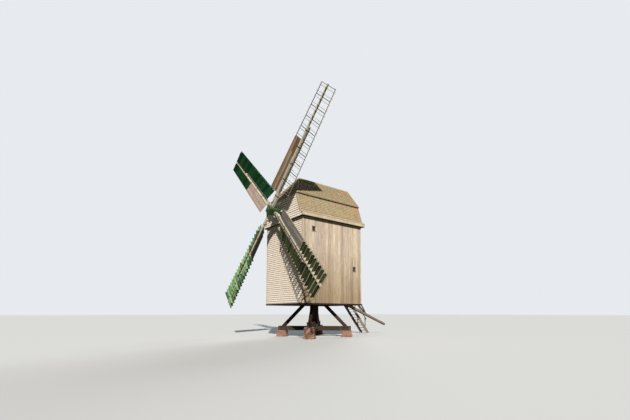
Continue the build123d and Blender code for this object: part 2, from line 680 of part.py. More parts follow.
SHAFT_PLANE = Plane(origin=HUB, x_dir=(1, 0, 0), z_dir=SHAFT_FORWARD)
for name, centre_y, beam_depth, journal in (
    ("neck_bearing", WEATHER_BEAM_Y, WEATHER_BEAM_DEPTH, NECK_DIAMETER),
    ("tail_bearing", TAIL_BEAM_Y, TAIL_BEAM_DEPTH, GUDGEON_DIAMETER),
):
    base_z = EAVE_Z + beam_depth + 2 * SEAT
    width = journal + 2 * BEARING_CHEEK
    with BuildPart() as bearing:
        with BuildSketch(Plane.XY.offset(base_z)):
            with Locations((0, centre_y)):
                Rectangle(width, BEARING_LENGTH)
        extrude(amount=shaft_height(centre_y) - base_z)
        with BuildSketch(SHAFT_PLANE):
            Circle(journal / 2 + BEARING_GAP)
        extrude(amount=-GUDGEON_END, mode=Mode.SUBTRACT)
    save(bearing, name)


# Rotor: everything that turns with the windshaft
def stock_plane(index):
    """Plane of one half of a stock at the hub: x outwards, z along the windshaft."""
    angle = radians(SAIL_ANGLE + 90.0 * index)
    outwards = Vector(1, 0, 0) * cos(angle) + SHAFT_UP * sin(angle)
    forward_shift = STOCK_SPACING / 2 * (1 if index % 2 == 0 else -1)
    centre = HUB + SHAFT_FORWARD * forward_shift
    return Plane(origin=centre, x_dir=outwards, z_dir=SHAFT_FORWARD)


def stock_lean(index):
    """Angle by which a stock's ends lean forwards."""
    return radians(REAR_STOCK_LEAN) if index % 2 else 0.0


def sail_plane(index):
    """Plane of one sail: x outwards, y to the leading side, z forwards."""
    plane = stock_plane(index)
    lean = stock_lean(index)
    outwards = plane.x_dir * cos(lean) + SHAFT_FORWARD * sin(lean)
    centre = plane.origin + (plane.x_dir - outwards) * STOCK_STRAIGHT
    return Plane(origin=centre, x_dir=outwards, z_dir=outwards.cross(plane.y_dir))


def edge_plane(plane):
    """The sail's plane turned on edge: x outwards, y backwards, z to the leading side."""
    return Plane(origin=plane.origin, x_dir=plane.x_dir, z_dir=plane.y_dir)


POLL_PLANE = Plane(origin=HUB, x_dir=stock_plane(0).x_dir, z_dir=SHAFT_FORWARD)

with BuildPart() as poll_end:
    with BuildSketch(POLL_PLANE.offset(-POLL_LENGTH / 2)):
        Rectangle(POLL_SIDE, POLL_SIDE)
    extrude(amount=POLL_LENGTH)
    long_edges = poll_end.edges().filter_by(Axis((0, 0, 0), SHAFT_FORWARD))
    chamfer(long_edges, length=POLL_CHAMFER)
    with BuildSketch(POLL_PLANE.offset(POLL_LENGTH / 2)):
        Circle(POLL_CAP_DIAMETER / 2)
    extrude(amount=POLL_CAP_LENGTH, taper=POLL_CAP_TAPER)
    with BuildSketch(POLL_PLANE.offset(-POLL_LENGTH / 2)):
        Circle(POLL_FLANGE_DIAMETER / 2)
    extrude(amount=-POLL_FLANGE_THICKNESS)
    with BuildSketch(POLL_PLANE.offset(-POLL_LENGTH / 2)):
        Circle(NECK_DIAMETER / 2)
    extrude(amount=-(NECK_END - POLL_LENGTH / 2))
    for index in (0, 1):
        with BuildSketch(edge_plane(stock_plane(index)).offset(-STOCK_WIDTH / 2 - SEAT)):
            Rectangle(2 * POLL_SIDE, STOCK_DEPTH + 2 * SEAT)
        extrude(amount=STOCK_WIDTH + 2 * SEAT, mode=Mode.SUBTRACT)
save(poll_end, "poll_end")

with BuildPart() as windshaft:
    with BuildSketch(POLL_PLANE.offset(-NECK_END)):
        RegularPolygon(SHAFT_DIAMETER / 2, SHAFT_SIDES)
    extrude(amount=-(SHAFT_END - NECK_END))
    with BuildSketch(POLL_PLANE.offset(-SHAFT_END)):
        Circle(GUDGEON_DIAMETER / 2)
    extrude(amount=-(GUDGEON_END - SHAFT_END))
save(windshaft, "windshaft")

WHIP_OUTLINE = [
    (WHIP_START, -WHIP_DEPTH / 2),
    (SAIL_RADIUS, -WHIP_TIP_DEPTH / 2),
    (SAIL_RADIUS, WHIP_TIP_DEPTH / 2),
    (WHIP_START, WHIP_DEPTH / 2),
]


def stock_outline(index):
    """Outline of a stock on edge: tapered, with ends that may lean forwards."""
    front = -STOCK_TIP_DEPTH / 2 - (STOCK_LENGTH - STOCK_STRAIGHT) * tan(stock_lean(index))
    back = front + STOCK_TIP_DEPTH
    return [
        (-STOCK_LENGTH, front),
        (-STOCK_STRAIGHT, -STOCK_DEPTH / 2),
        (STOCK_STRAIGHT, -STOCK_DEPTH / 2),
        (STOCK_LENGTH, front),
        (STOCK_LENGTH, back),
        (STOCK_STRAIGHT, STOCK_DEPTH / 2),
        (-STOCK_STRAIGHT, STOCK_DEPTH / 2),
        (-STOCK_LENGTH, back),
    ]


def rail_point(side, r):
    """Centre of the outer rail at a radius, as (t, n): the twist of the sail."""
    share = (FRAME_TIP - r) / (FRAME_TIP - FRAME_ROOT)
    if side > 0:
        rise = LEADING_RISE_TIP + share * (LEADING_RISE_ROOT - LEADING_RISE_TIP)
        return (LEADING_REACH - RAIL_WIDTH / 2, rise)
    rise = TRAILING_RISE_TIP + share * (TRAILING_RISE_ROOT - TRAILING_RISE_TIP)
    return (-TRAILING_REACH + RAIL_WIDTH / 2, rise)


def rail_corner(plane, side, r):
    """The rail's centre at a radius, as a point of the mill."""
    t, n = rail_point(side, r)
    return plane.from_local_coords(Vector(r, t, n))


def bar_root(side, r):
    """Value of t where a bar starts: on the whip, or on the stock beside it."""
    if side > 0:
        return WHIP_OUTER
    return STOCK_WIDTH / 2 if r > STOCK_LENGTH else -STOCK_WIDTH / 2


def bar_plane(plane, side, r):
    """Plane at the rail end of a bar, x along the bar from the whip to the rail."""
    end = rail_corner(plane, side, r)
    along = end - plane.from_local_coords(Vector(r, bar_root(side, r), 0))
    return Plane(origin=end, x_dir=along, z_dir=along.cross(plane.x_dir))


def sail_frame(plane, side, shutters):
    """One side of a sail: rail, bars and open shutters on their spindles."""
    tip = rail_corner(plane, side, FRAME_TIP + RAIL_OVERRUN)
    root = rail_corner(plane, side, FRAME_ROOT - RAIL_OVERRUN)
    middle = (tip + root) * 0.5
    rail_front = (tip - root).cross(plane.y_dir)
    bar_pitch = 2 * SHUTTER_PITCH
    bar_radii = [FRAME_TIP - bar_pitch * i for i in range(TRAILING_SHUTTERS // 2 + 1)]
    shutter_radii = [FRAME_TIP - SHUTTER_PITCH * (i + 0.5) for i in range(shutters)]
    outer_radii = [r for r in shutter_radii if r > STOCK_LENGTH]
    inner_radii = [r for r in shutter_radii if r <= STOCK_LENGTH]
    shutter_groups = [radii for radii in (outer_radii, inner_radii) if radii]
    into_whip = STOCK_WIDTH / 2 + WHIP_WIDTH / 2
    reach = LEADING_REACH - into_whip if side > 0 else TRAILING_REACH + into_whip
    blade_end = RAIL_WIDTH / 2 + SHUTTER_END_GAP
    stock_and_whip = WHIP_OUTER + STOCK_WIDTH / 2 + 2 * SEAT
    to_rail = (Align.MAX, Align.CENTER, Align.CENTER)

    def blade_length(r):
        """Length of a shutter between the two gaps at its ends."""
        rail_t = rail_point(side, r)[0]
        return abs(rail_t - bar_root(side, r)) - blade_end - SHUTTER_END_GAP

    with BuildPart() as frame:
        with Locations(Plane(origin=middle, x_dir=tip - root, z_dir=rail_front)):
            Box((tip - root).length, RAIL_WIDTH, RAIL_DEPTH)
        with Locations(*[bar_plane(plane, side, r) for r in bar_radii]):
            Box(reach, BAR_WIDTH, BAR_DEPTH, align=to_rail)
        with Locations(*[bar_plane(plane, side, r) for r in shutter_radii]):
            Box(reach, SPINDLE_SIZE, SPINDLE_SIZE, align=to_rail)
        with Locations(plane):
            with Locations((SAIL_RADIUS / 2, WHIP_OUTER - WHIP_WIDTH / 2)):
                Box(SAIL_RADIUS, WHIP_WIDTH + 2 * SEAT, STOCK_DEPTH, mode=Mode.SUBTRACT)
            with Locations((STOCK_LENGTH / 2, (WHIP_OUTER - STOCK_WIDTH / 2) / 2)):
                Box(STOCK_LENGTH, stock_and_whip, STOCK_DEPTH, mode=Mode.SUBTRACT)
        for radii in shutter_groups:
            with Locations(*[bar_plane(plane, side, r) for r in radii]):
                with Locations((-blade_end, 0, 0)):
                    Box(blade_length(radii[0]), SHUTTER_THICKNESS, SHUTTER_CHORD, align=to_rail)
    return frame


def board_corners(index, r):
    """Section of one leading board at a radius, as (t, n), resting on the bars."""
    first = WHIP_OUTER + SEAT
    width = (LEADING_REACH - first + LEADING_BOARD_GAP) / LEADING_BOARDS
    rail_t, rail_n = rail_point(1, r)
    slope = rail_n / (rail_t - WHIP_OUTER)
    lift = (BAR_DEPTH / 2 + SEAT) / cos(atan2(rail_n, rail_t - WHIP_OUTER)) + BOARD_LIFT
    inner_t = first + width * index
    outer_t = inner_t + width - LEADING_BOARD_GAP
    inner_n = (inner_t - WHIP_OUTER) * slope + lift
    outer_n = (outer_t - WHIP_OUTER) * slope + lift
    return [
        (inner_t, inner_n),
        (outer_t, outer_n),
        (outer_t, outer_n + LEADING_BOARD_THICKNESS),
        (inner_t, inner_n + LEADING_BOARD_THICKNESS),
    ]


with BuildPart() as sail_stocks:
    for index in (0, 1):
        with BuildSketch(edge_plane(stock_plane(index)).offset(-STOCK_WIDTH / 2)):
            with BuildLine():
                Polyline(*stock_outline(index), close=True)
            make_face()
        extrude(amount=STOCK_WIDTH)
save(sail_stocks, "sail_stocks")

with BuildPart() as sail_whips:
    for index in range(4):
        with BuildSketch(edge_plane(sail_plane(index)).offset(STOCK_WIDTH / 2 + SEAT)):
            with BuildLine():
                Polyline(*WHIP_OUTLINE, close=True)
            make_face()
        extrude(amount=WHIP_WIDTH)
save(sail_whips, "sail_whips")

# Boards that cover the inner part of each leading side, twisted with the bars
with BuildPart() as leading_boards:
    for index, shutters in enumerate(LEADING_SHUTTERS):
        plane = sail_plane(index)
        end = FRAME_TIP - shutters * SHUTTER_PITCH - BAR_WIDTH / 2
        for board in range(LEADING_BOARDS):
            for r in (LEADING_BOARD_START, end):
                spot = plane.from_local_coords(Vector(r, 0, 0))
                with BuildSketch(Plane(origin=spot, x_dir=plane.y_dir, z_dir=plane.x_dir)):
                    with BuildLine():
                        Polyline(*board_corners(board, r), close=True)
                    make_face()
            loft(ruled=True)
save(leading_boards, "leading_boards")

for index, shutters in enumerate(LEADING_SHUTTERS):
    with BuildPart() as sail_shutters:
        add(sail_frame(sail_plane(index), -1, TRAILING_SHUTTERS).part)
        add(sail_frame(sail_plane(index), 1, shutters).part)
    save(sail_shutters, f"sail_{index + 1}_shutters")

# Rear platform, stair and tail pole
PLATFORM_X = (DOOR_X - DOOR_WIDTH / 2 - PLATFORM_SIDE, DOOR_X + DOOR_WIDTH / 2 + PLATFORM_SIDE)
PLATFORM_END_Y = REAR_Y + PLATFORM_DEPTH
PLATFORM_TOP = DOOR_SILL - PLATFORM_BOARD
save(
    beam(PLATFORM_X, (REAR_Y + SEAT, PLATFORM_END_Y), (PLATFORM_TOP - PLATFORM_BOARD, PLATFORM_TOP)),
    "rear_platform",
)

with BuildPart() as platform_brackets:
    bracket_top = PLATFORM_TOP - PLATFORM_BOARD - SEAT
    bracket_end = PLATFORM_END_Y - BRACKET_BAND
    bracket_low = bracket_top - BRACKET_DROP
    bracket_outer = [
        (REAR_Y + SEAT, bracket_top),
        (bracket_end, bracket_top),
        (bracket_end, bracket_top - BRACKET_BAND),
        (REAR_Y + SEAT + BRACKET_BAND, bracket_low),
        (REAR_Y + SEAT, bracket_low),
    ]
    bracket_hole = [
        (REAR_Y + SEAT + BRACKET_BAND, bracket_top - BRACKET_BAND),
        (bracket_end - BRACKET_BRACE, bracket_top - BRACKET_BAND),
        (REAR_Y + SEAT + BRACKET_BAND, bracket_low + BRACKET_BRACE),
    ]
    for start_x in (PLATFORM_X[0], PLATFORM_X[1] - BRACKET_WIDTH):
        with BuildSketch(Plane.YZ.offset(start_x)):
            with BuildLine():
                Polyline(*bracket_outer, close=True)
            make_face()
            with BuildLine():
                Polyline(*bracket_hole, close=True)
            make_face(mode=Mode.SUBTRACT)
        extrude(amount=BRACKET_WIDTH)
save(platform_brackets, "platform_brackets")

STRING_X = (PLATFORM_X[0] + PLATFORM_SIDE - STRING_THICKNESS, PLATFORM_X[1] - PLATFORM_SIDE)
STAIR_START_Y = PLATFORM_END_Y + SEAT
STAIR_END_Y = STAIR_START_Y + STAIR_RUN
STAIR_PITCH = atan2(PLATFORM_TOP - STAIR_GROUND_GAP, STAIR_RUN)
string_drop = STRING_DEPTH / cos(STAIR_PITCH)
string_run = STRING_DEPTH / sin(STAIR_PITCH)
string_outline = [
    (STAIR_START_Y, PLATFORM_TOP),
    (STAIR_END_Y, STAIR_GROUND_GAP),
    (STAIR_END_Y - string_run, STAIR_GROUND_GAP),
    (STAIR_START_Y, PLATFORM_TOP - string_drop),
]
with BuildPart() as stair_strings:
    for start_x in STRING_X:
        with BuildSketch(Plane.YZ.offset(start_x)):
            with BuildLine():
                Polyline(*string_outline, close=True)
            make_face()
        extrude(amount=STRING_THICKNESS)
save(stair_strings, "stair_strings")

with BuildPart() as stair_treads:
    tread_x = (STRING_X[0] + STRING_THICKNESS + SEAT, STRING_X[1] - SEAT)
    rise = (PLATFORM_TOP - STAIR_GROUND_GAP) / (TREADS + 1)
    going = STAIR_RUN / (TREADS + 1)
    for step in range(1, TREADS + 1):
        top = PLATFORM_TOP - rise * step
        nose = STAIR_START_Y + going * step
        with BuildSketch(Plane.XY.offset(top - TREAD_THICKNESS)):
            with Locations((sum(tread_x) / 2, nose - TREAD_DEPTH / 2)):
                Rectangle(tread_x[1] - tread_x[0], TREAD_DEPTH)
        extrude(amount=TREAD_THICKNESS)
save(stair_treads, "stair_treads")

rail_slope = tan(STAIR_PITCH)
handrail_top = PLATFORM_TOP + HANDRAIL_HEIGHT
handrail_low = handrail_top - HANDRAIL_RUN * rail_slope
handrail_outline = [
    (STAIR_START_Y, handrail_top),
    (STAIR_START_Y + HANDRAIL_RUN, handrail_low),
    (STAIR_START_Y + HANDRAIL_RUN, handrail_low - HANDRAIL_DEPTH),
    (STAIR_START_Y, handrail_top - HANDRAIL_DEPTH),
]
handrail_post_height = HANDRAIL_HEIGHT - HANDRAIL_POST_INSET + HANDRAIL_POST_FOOT
with BuildPart() as stair_handrails:
    for start_x in (STRING_X[0] - HANDRAIL_SIZE - SEAT, STRING_X[1] + STRING_THICKNESS + SEAT):
        with BuildSketch(Plane.YZ.offset(start_x)):
            with BuildLine():
                Polyline(*handrail_outline, close=True)
            make_face()
            for run in HANDRAIL_POSTS:
                post_top = handrail_top - HANDRAIL_POST_INSET - run * rail_slope
                with Locations((STAIR_START_Y + run, post_top - handrail_post_height / 2)):
                    Rectangle(HANDRAIL_SIZE, handrail_post_height)
        extrude(amount=HANDRAIL_SIZE)
save(stair_handrails, "stair_handrails")

POLE_END_Y = REAR_Y + TAIL_POLE_REACH
pole_lean = atan2(TAIL_POLE_TOP_Z - TAIL_POLE_END_Z, TAIL_POLE_REACH)
pole_depth = TAIL_POLE_SIZE / cos(pole_lean)
pole_outline = [
    (REAR_Y + SEAT, TAIL_POLE_TOP_Z),
    (POLE_END_Y, TAIL_POLE_END_Z),
    (POLE_END_Y, TAIL_POLE_END_Z - TAIL_POLE_END_DEPTH),
    (REAR_Y + SEAT, TAIL_POLE_TOP_Z - pole_depth),
]
pole_start = Plane.YZ.offset(TAIL_POLE_X - TAIL_POLE_SIZE / 2)
save(prism(pole_start, pole_outline, TAIL_POLE_SIZE), "tail_pole")

# Two stays hold the tail pole up to the rear wall, cut off flush at both ends
stay_low_z = TAIL_POLE_TOP_Z - STAY_REACH * tan(pole_lean) + STAY_FOOT_RISE
stay_outline = [
    (REAR_Y + SEAT, TAIL_POLE_TOP_Z + SEAT),
    (POLE_END_Y, TAIL_POLE_END_Z + SEAT),
    (POLE_END_Y, STAY_WALL_Z + STAY_WALL_SPREAD),
    (REAR_Y + SEAT, STAY_WALL_Z + STAY_WALL_SPREAD),
]
stay_side = STAY_WALL_SPREAD + STAY_SIZE
with BuildPart() as tail_pole_stays:
    for side in (1, -1):
        low = Vector(TAIL_POLE_X + side * STAY_FOOT_SPREAD, REAR_Y + STAY_REACH, stay_low_z)
        high = Vector(TAIL_POLE_X + side * STAY_WALL_SPREAD, REAR_Y + SEAT, STAY_WALL_Z)
        stay_plane = Plane(origin=low, x_dir=(1, 0, 0), z_dir=high - low)
        with BuildSketch(stay_plane.offset(-2 * STAY_SIZE)):
            Rectangle(STAY_SIZE, STAY_SIZE)
        extrude(amount=(high - low).length + 4 * STAY_SIZE)
    with BuildSketch(Plane.YZ.offset(TAIL_POLE_X - stay_side)):
        with BuildLine():
            Polyline(*stay_outline, close=True)
        make_face()
    extrude(amount=2 * stay_side, mode=Mode.INTERSECT)
save(tail_pole_stays, "tail_pole_stays")
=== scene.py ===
# %% [markdown]
# # A post mill
# A post mill is a small wooden house that stands on one upright post and is
# turned into the wind by hand. Everything below dresses a finished solid model:
# the solids fix the sizes and the moving parts, and this script adds the boards,
# shingles, bricks and paint that make it look built. We load the solids first.

from math import atan2, cos, pi, radians, sin
from random import Random

import bmesh
import bpy
import numpy as np
from mathutils import Matrix, Vector


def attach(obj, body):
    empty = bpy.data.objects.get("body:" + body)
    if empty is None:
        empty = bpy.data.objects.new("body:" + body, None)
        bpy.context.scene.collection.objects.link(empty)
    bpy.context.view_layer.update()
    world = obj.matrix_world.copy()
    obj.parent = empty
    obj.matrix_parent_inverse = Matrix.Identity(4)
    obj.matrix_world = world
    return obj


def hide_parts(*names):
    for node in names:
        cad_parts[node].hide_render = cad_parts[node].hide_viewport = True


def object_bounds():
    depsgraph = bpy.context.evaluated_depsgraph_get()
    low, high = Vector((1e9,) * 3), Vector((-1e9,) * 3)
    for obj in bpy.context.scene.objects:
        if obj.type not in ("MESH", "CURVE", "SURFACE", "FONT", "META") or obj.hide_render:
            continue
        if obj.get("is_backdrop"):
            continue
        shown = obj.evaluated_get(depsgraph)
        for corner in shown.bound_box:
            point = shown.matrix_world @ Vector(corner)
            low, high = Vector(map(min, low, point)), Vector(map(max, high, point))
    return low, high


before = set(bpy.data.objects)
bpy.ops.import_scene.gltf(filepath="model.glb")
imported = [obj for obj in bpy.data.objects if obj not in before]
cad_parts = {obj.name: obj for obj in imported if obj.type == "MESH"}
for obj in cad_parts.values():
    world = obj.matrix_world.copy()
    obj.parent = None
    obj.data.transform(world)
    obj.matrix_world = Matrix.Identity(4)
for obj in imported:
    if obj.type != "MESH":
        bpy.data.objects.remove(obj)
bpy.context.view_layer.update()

# %% [markdown]
# ## The view
# The camera stands at eye height off the front right corner and looks slightly
# up. A tall building seen from near the ground has its horizon low in the frame.
# A photographer would tilt the camera a little and crop the rest, so we do the
# same: a small tilt, and a vertical shift for the part that a crop would take.

# %% Camera
EYE = (25.45, -19.517, 2.149)
LOOK_AZIMUTH, LOOK_UP = radians(52.39), radians(4.61)
FILM_WIDE, LENS, CROP_SHIFT, FARTHEST = 36.0, 19.80, 0.119, 1000.0


def put(name, data):
    """A new object in the scene."""
    made = bpy.data.objects.new(name, data)
    bpy.context.collection.objects.link(made)
    return made


level = cos(LOOK_UP)
looking = Vector((-sin(LOOK_AZIMUTH) * level, cos(LOOK_AZIMUTH) * level, sin(LOOK_UP)))
camera = put("camera", bpy.data.cameras.new("camera"))
camera.location = EYE
camera.rotation_euler = looking.to_track_quat("-Z", "Y").to_euler()
camera.data.sensor_width = FILM_WIDE
camera.data.lens = LENS
camera.data.shift_y = CROP_SHIFT
camera.data.clip_end = FARTHEST
camera.data.dof.use_dof = False
bpy.context.scene.camera = camera
bpy.context.scene.view_settings.view_transform = "Standard"
print("camera lens", camera.data.lens, "mm")

# %% [markdown]
# ## Light
# A strong sun from the viewer's right throws the sails' shadows on the front wall
# and the roof. A soft even sky only just fills the shadows. A weak soft lamp from
# behind lights the sides that the sun never reaches, so that the mill can be
# looked at all round. The camera sees a pale backdrop in place of that sky.

# %% Sun and sky
def lamp(name, travel, energy, wide, colour):
    """A lamp as far off as the sun; wide is its width in degrees."""
    made = put(name, bpy.data.lights.new(name, "SUN"))
    made.rotation_euler = Vector(travel).to_track_quat("-Z", "Y").to_euler()
    made.data.energy = energy
    made.data.angle = radians(wide)
    made.data.color = colour
    print(name, "has strength", energy)


def add(tree, kind, inputs=None, **settings):
    """One node with its settings, its values and its links made in one go."""
    made = tree.nodes.new(kind)
    for name, value in settings.items():
        setattr(made, name, value)
    for name, value in (inputs or {}).items():
        if isinstance(value, bpy.types.NodeSocket):
            tree.links.new(value, made.inputs[name])
        else:
            made.inputs[name].default_value = value
    return made


def maths(tree, operation, first, second=0.0):
    """One rule of arithmetic on one or two numbers."""
    return add(tree, "ShaderNodeMath", {0: first, 1: second}, operation=operation).outputs[0]


lamp("sun", (-1.6, 1.0, -1.08), 5.4, 1.8, (1.0, 0.96, 0.90))
lamp("back_light", (1.0, -1.3, -0.8), 1.8, 25, (0.88, 0.94, 1.0))

world = bpy.data.worlds.new("sky")
world.use_nodes = True
bpy.context.scene.world = world
sky = world.node_tree
sky.nodes.clear()
ray = add(sky, "ShaderNodeLightPath").outputs
mirrored = maths(sky, "MAXIMUM", ray["Is Camera Ray"], ray["Is Glossy Ray"])
shown = maths(sky, "MAXIMUM", mirrored, ray["Is Transmission Ray"])
fill = add(sky, "ShaderNodeBackground", {"Color": (0.66, 0.82, 1.0, 1), "Strength": 0.11})
backdrop = add(sky, "ShaderNodeBackground", {"Color": (0.80, 0.83, 0.86, 1), "Strength": 1.0})
both = add(sky, "ShaderNodeMixShader", {0: shown, 1: fill.outputs[0], 2: backdrop.outputs[0]})
add(sky, "ShaderNodeOutputWorld", {"Surface": both.outputs[0]})

# %% [markdown]
# ## Floor
# The floor is one plain pale sheet. So that the shadows keep their depth, only
# the camera sees it pale: light finds it darker and is thrown back up more
# weakly. It lies a hair below the piers to keep clear of them.

# %% Floor
FLOOR_REACH, FLOOR_DROP = 400.0, 0.002

sheet = bmesh.new()
bmesh.ops.create_grid(sheet, x_segments=1, y_segments=1, size=FLOOR_REACH)
floor_data = bpy.data.meshes.new("floor")
sheet.to_mesh(floor_data)
sheet.free()
ground = put("floor", floor_data)
ground.location.z = -FLOOR_DROP
ground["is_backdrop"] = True

pale = bpy.data.materials.new("pale_floor")
pale.use_nodes = True
tree = pale.node_tree
seen = add(tree, "ShaderNodeLightPath").outputs["Is Camera Ray"]
greys = {0: seen, 6: (0.16, 0.16, 0.13, 1), 7: (0.62, 0.62, 0.61, 1)}
shader = tree.nodes["Principled BSDF"]
shader.inputs["Roughness"].default_value = 1.0
shader.inputs["Specular IOR Level"].default_value = 0.0
tint = add(tree, "ShaderNodeMix", greys, data_type="RGBA").outputs[2]
tree.links.new(tint, shader.inputs["Base Color"])
floor_data.materials.append(pale)
print("floor", floor_data.polygons[0].area, "square metres")

# %% [markdown]
# ## Small pieces with their own grain
# A mill is thousands of sawn pieces. If one wood texture ran over all of them it
# would give the trick away at once, because grain follows each piece. So every
# piece carries three notes on its points: "grain", its own coordinates with x
# along the fibres, moved by a random amount; "tone", one random number; and
# "foot", the distance along the piece, by which a shingle's lower edge is painted
# darker as painted shade of the course line. The materials read them. Pieces are
# made one by one in a small mesh and then dropped into one large mesh, which
# stays quick for thousands of them.

# %% Stacks of pieces
UP = Vector((0, 0, 1))
PLAIN = 0.5  # the tone of pieces that needn't differ, such as irons
scratch = bpy.data.meshes.new("scratch")


def new_stack():
    """An empty mesh in the making, ready to gather pieces."""
    stack = bmesh.new()
    stack.verts.layers.float_vector.new("grain")
    stack.verts.layers.float.new("tone")
    stack.verts.layers.float.new("foot")
    return stack


def soften(small, bevel, edges, segments=1):
    """Takes the sharpness off some edges."""
    bmesh.ops.bevel(
        small, geom=edges, offset=bevel, offset_type="OFFSET", affect="EDGES",
        segments=segments, profile=0.5, material=-1, clamp_overlap=True,
    )


def block(length, width, height, bevel=0.0):
    """A sawn block centred on its origin, with x along the fibres."""
    small = bmesh.new()
    bmesh.ops.create_cube(small, size=1.0)
    bmesh.ops.scale(small, vec=(length, width, height), verts=small.verts)
    if bevel:
        soften(small, bevel, small.edges[:])
    return small


def place(origin, along, up):
    """A placing with x along a piece and z out of its face."""
    x = Vector(along).normalized()
    y = Vector(up).cross(x).normalized()
    turned = Matrix((x, y, x.cross(y))).transposed().to_4x4()
    turned.translation = Vector(origin)
    return turned


def random_shift(rng):
    """A random place in the grain, so that no two pieces show the same fibres."""
    return Vector([rng.uniform(0, 40) for _ in range(3)])


def lay(small, stack, where, rng, tone=None):
    """Notes a piece's grain and tone, puts it in its place and adds it to the stack."""
    grain = small.verts.layers.float_vector.new("grain")
    tones = small.verts.layers.float.new("tone")
    feet = small.verts.layers.float.new("foot")
    tone = rng.random() if tone is None else tone
    shift = random_shift(rng)
    for vert in small.verts:
        vert[grain] = vert.co + shift
        vert[tones] = tone
        vert[feet] = vert.co.x
    small.transform(where)
    small.to_mesh(scratch)
    small.free()
    stack.from_mesh(scratch)


# %% [markdown]
# ## Sticks, planks and bolts
# Nearly everything on a mill is one of these three. A stick is straight and has
# the same section all along. A plank runs from one four-cornered end to another,
# so it may taper and twist, as a sail's timbers do. A bolt is a six-sided head on
# a washer, small but worth having, because its shadow tells the eye that two
# timbers are held together.

# %% Sticks, planks and bolts
WASHER = 0.006


def stick(stack, start, end, width, height, up, rng, bevel=0.004, tone=None):
    """A straight stick from one point to another."""
    start, end = Vector(start), Vector(end)
    where = place((start + end) / 2, end - start, up)
    lay(block((end - start).length, width, height, bevel), stack, where, rng, tone)


def plank(stack, first, last, up, rng, bevel=0.003, tone=None):
    """A board from one four-cornered end to the other; it may taper and twist."""
    start, end = sum(first, Vector()) / 4, sum(last, Vector()) / 4
    where = place((start + end) / 2, end - start, up)
    back = where.inverted()
    small = bmesh.new()
    near = [small.verts.new(back @ corner) for corner in first]
    far = [small.verts.new(back @ corner) for corner in last]
    small.faces.new(near)
    small.faces.new(far[::-1])
    for i in range(4):
        j = (i + 1) % 4
        small.faces.new((near[j], near[i], far[i], far[j]))
    bmesh.ops.recalc_face_normals(small, faces=small.faces[:])
    soften(small, bevel, small.edges[:])
    lay(small, stack, where, rng, tone)


def bolt(stack, spot, out, radius, rng):
    """A six-sided bolt head on a round washer, standing out of a face."""
    side = UP if abs(Vector(out).normalized().z) < 0.9 else (1, 0, 0)
    head = WASHER + radius * 0.9
    for corners, wide, low, high in ((16, radius * 1.5, 0.0, WASHER), (6, radius, WASHER, head)):
        small = bmesh.new()
        bmesh.ops.create_cone(
            small, cap_ends=True, segments=corners, radius1=wide, radius2=wide * 0.94, depth=high - low,
        )
        bmesh.ops.translate(small, vec=(0, 0, (high + low) / 2), verts=small.verts)
        lay(small, stack, place(spot, side, out), rng, PLAIN)


def piece_from(stack, name, material, body, slot, *nodes, smooth=None):
    """Turns a stack into a finished piece that rides on a body."""
    mesh = bpy.data.meshes.new(name)
    stack.to_mesh(mesh)
    stack.free()
    mesh.materials.append(material)
    if smooth is not None:
        mesh.shade_smooth()
        mesh.set_sharp_from_angle(angle=radians(smooth))
    piece = put(name, mesh)
    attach(piece, body)
    if nodes:
        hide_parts(*nodes)
    print(name, "has", len(mesh.polygons), "faces")


# %% [markdown]
# ## Dressing a solid
# Many timbers already have the right shape in the solid model, but their edges
# are knife sharp and they carry no grain. We copy such a node, join its loose
# triangles into clean faces, round its edges a little, and give every separate
# timber its own grain along its longest direction.

# %% Copies with soft edges
MERGE, FLAT, SHARP = 0.00002, radians(0.5), radians(28)


def islands(mesh):
    """The separate timbers of a mesh, each a list of its points."""
    left, found = set(mesh.verts), []
    while left:
        group, edge_of_group = [], [left.pop()]
        while edge_of_group:
            vert = edge_of_group.pop()
            group.append(vert)
            for edge in vert.link_edges:
                other = edge.other_vert(vert)
                if other in left:
                    left.remove(other)
                    edge_of_group.append(other)
        found.append(group)
    return sorted(found, key=lambda group: tuple(round(c, 3) for c in min(v.co[:] for v in group)))


def dressed(node, material, body, slot, bevel=0.008, seed=1, smooth=None):
    """A copy of a solid with rounded edges, grain and tone, shown in its place."""
    rng = Random(seed)
    copy = bmesh.new()
    copy.from_mesh(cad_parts[node].data)
    bmesh.ops.remove_doubles(copy, verts=copy.verts, dist=MERGE)
    bmesh.ops.dissolve_limit(copy, angle_limit=FLAT, verts=copy.verts, edges=copy.edges)
    sharp = [e for e in copy.edges if len(e.link_faces) == 2 and e.calc_face_angle() > SHARP]
    soften(copy, bevel, sharp, 2)
    grain = copy.verts.layers.float_vector.new("grain")
    tones = copy.verts.layers.float.new("tone")
    for group in islands(copy):
        points = np.array([v.co[:] for v in group])
        middle = points.mean(0)
        axes = np.linalg.svd(points - middle, full_matrices=False)[2]
        shift = random_shift(rng)
        tone = rng.random()
        for vert, local in zip(group, (points - middle) @ axes.T):
            vert[grain] = Vector(local) + shift
            vert[tones] = tone
    piece_from(copy, f"{node}_dressed", material, body, slot, node, smooth=smooth)


# %% [markdown]
# ## Tools for materials
# A material is a tree of nodes. Building it by hand takes one line for each node
# and one for each link, so a few short tools do the common steps: a colour ramp,
# a change of range, a mix of two colours, stretched noise and a bump.

# %% Material tools
def ramp(tree, value, colours, places=None):
    """A colour ramp, its colours spread evenly unless they have places of their own."""
    made = add(tree, "ShaderNodeValToRGB", {"Fac": value})
    bar = made.color_ramp
    bar.interpolation = "LINEAR"
    colours = colours.split()
    places = places or [i / (len(colours) - 1) for i in range(len(colours))]
    while len(bar.elements) < len(colours):
        bar.elements.new(0.5)
    for element, position, colour in zip(bar.elements, places, colours):
        element.position = position
        element.color = srgb(colour)
    return made.outputs["Color"]


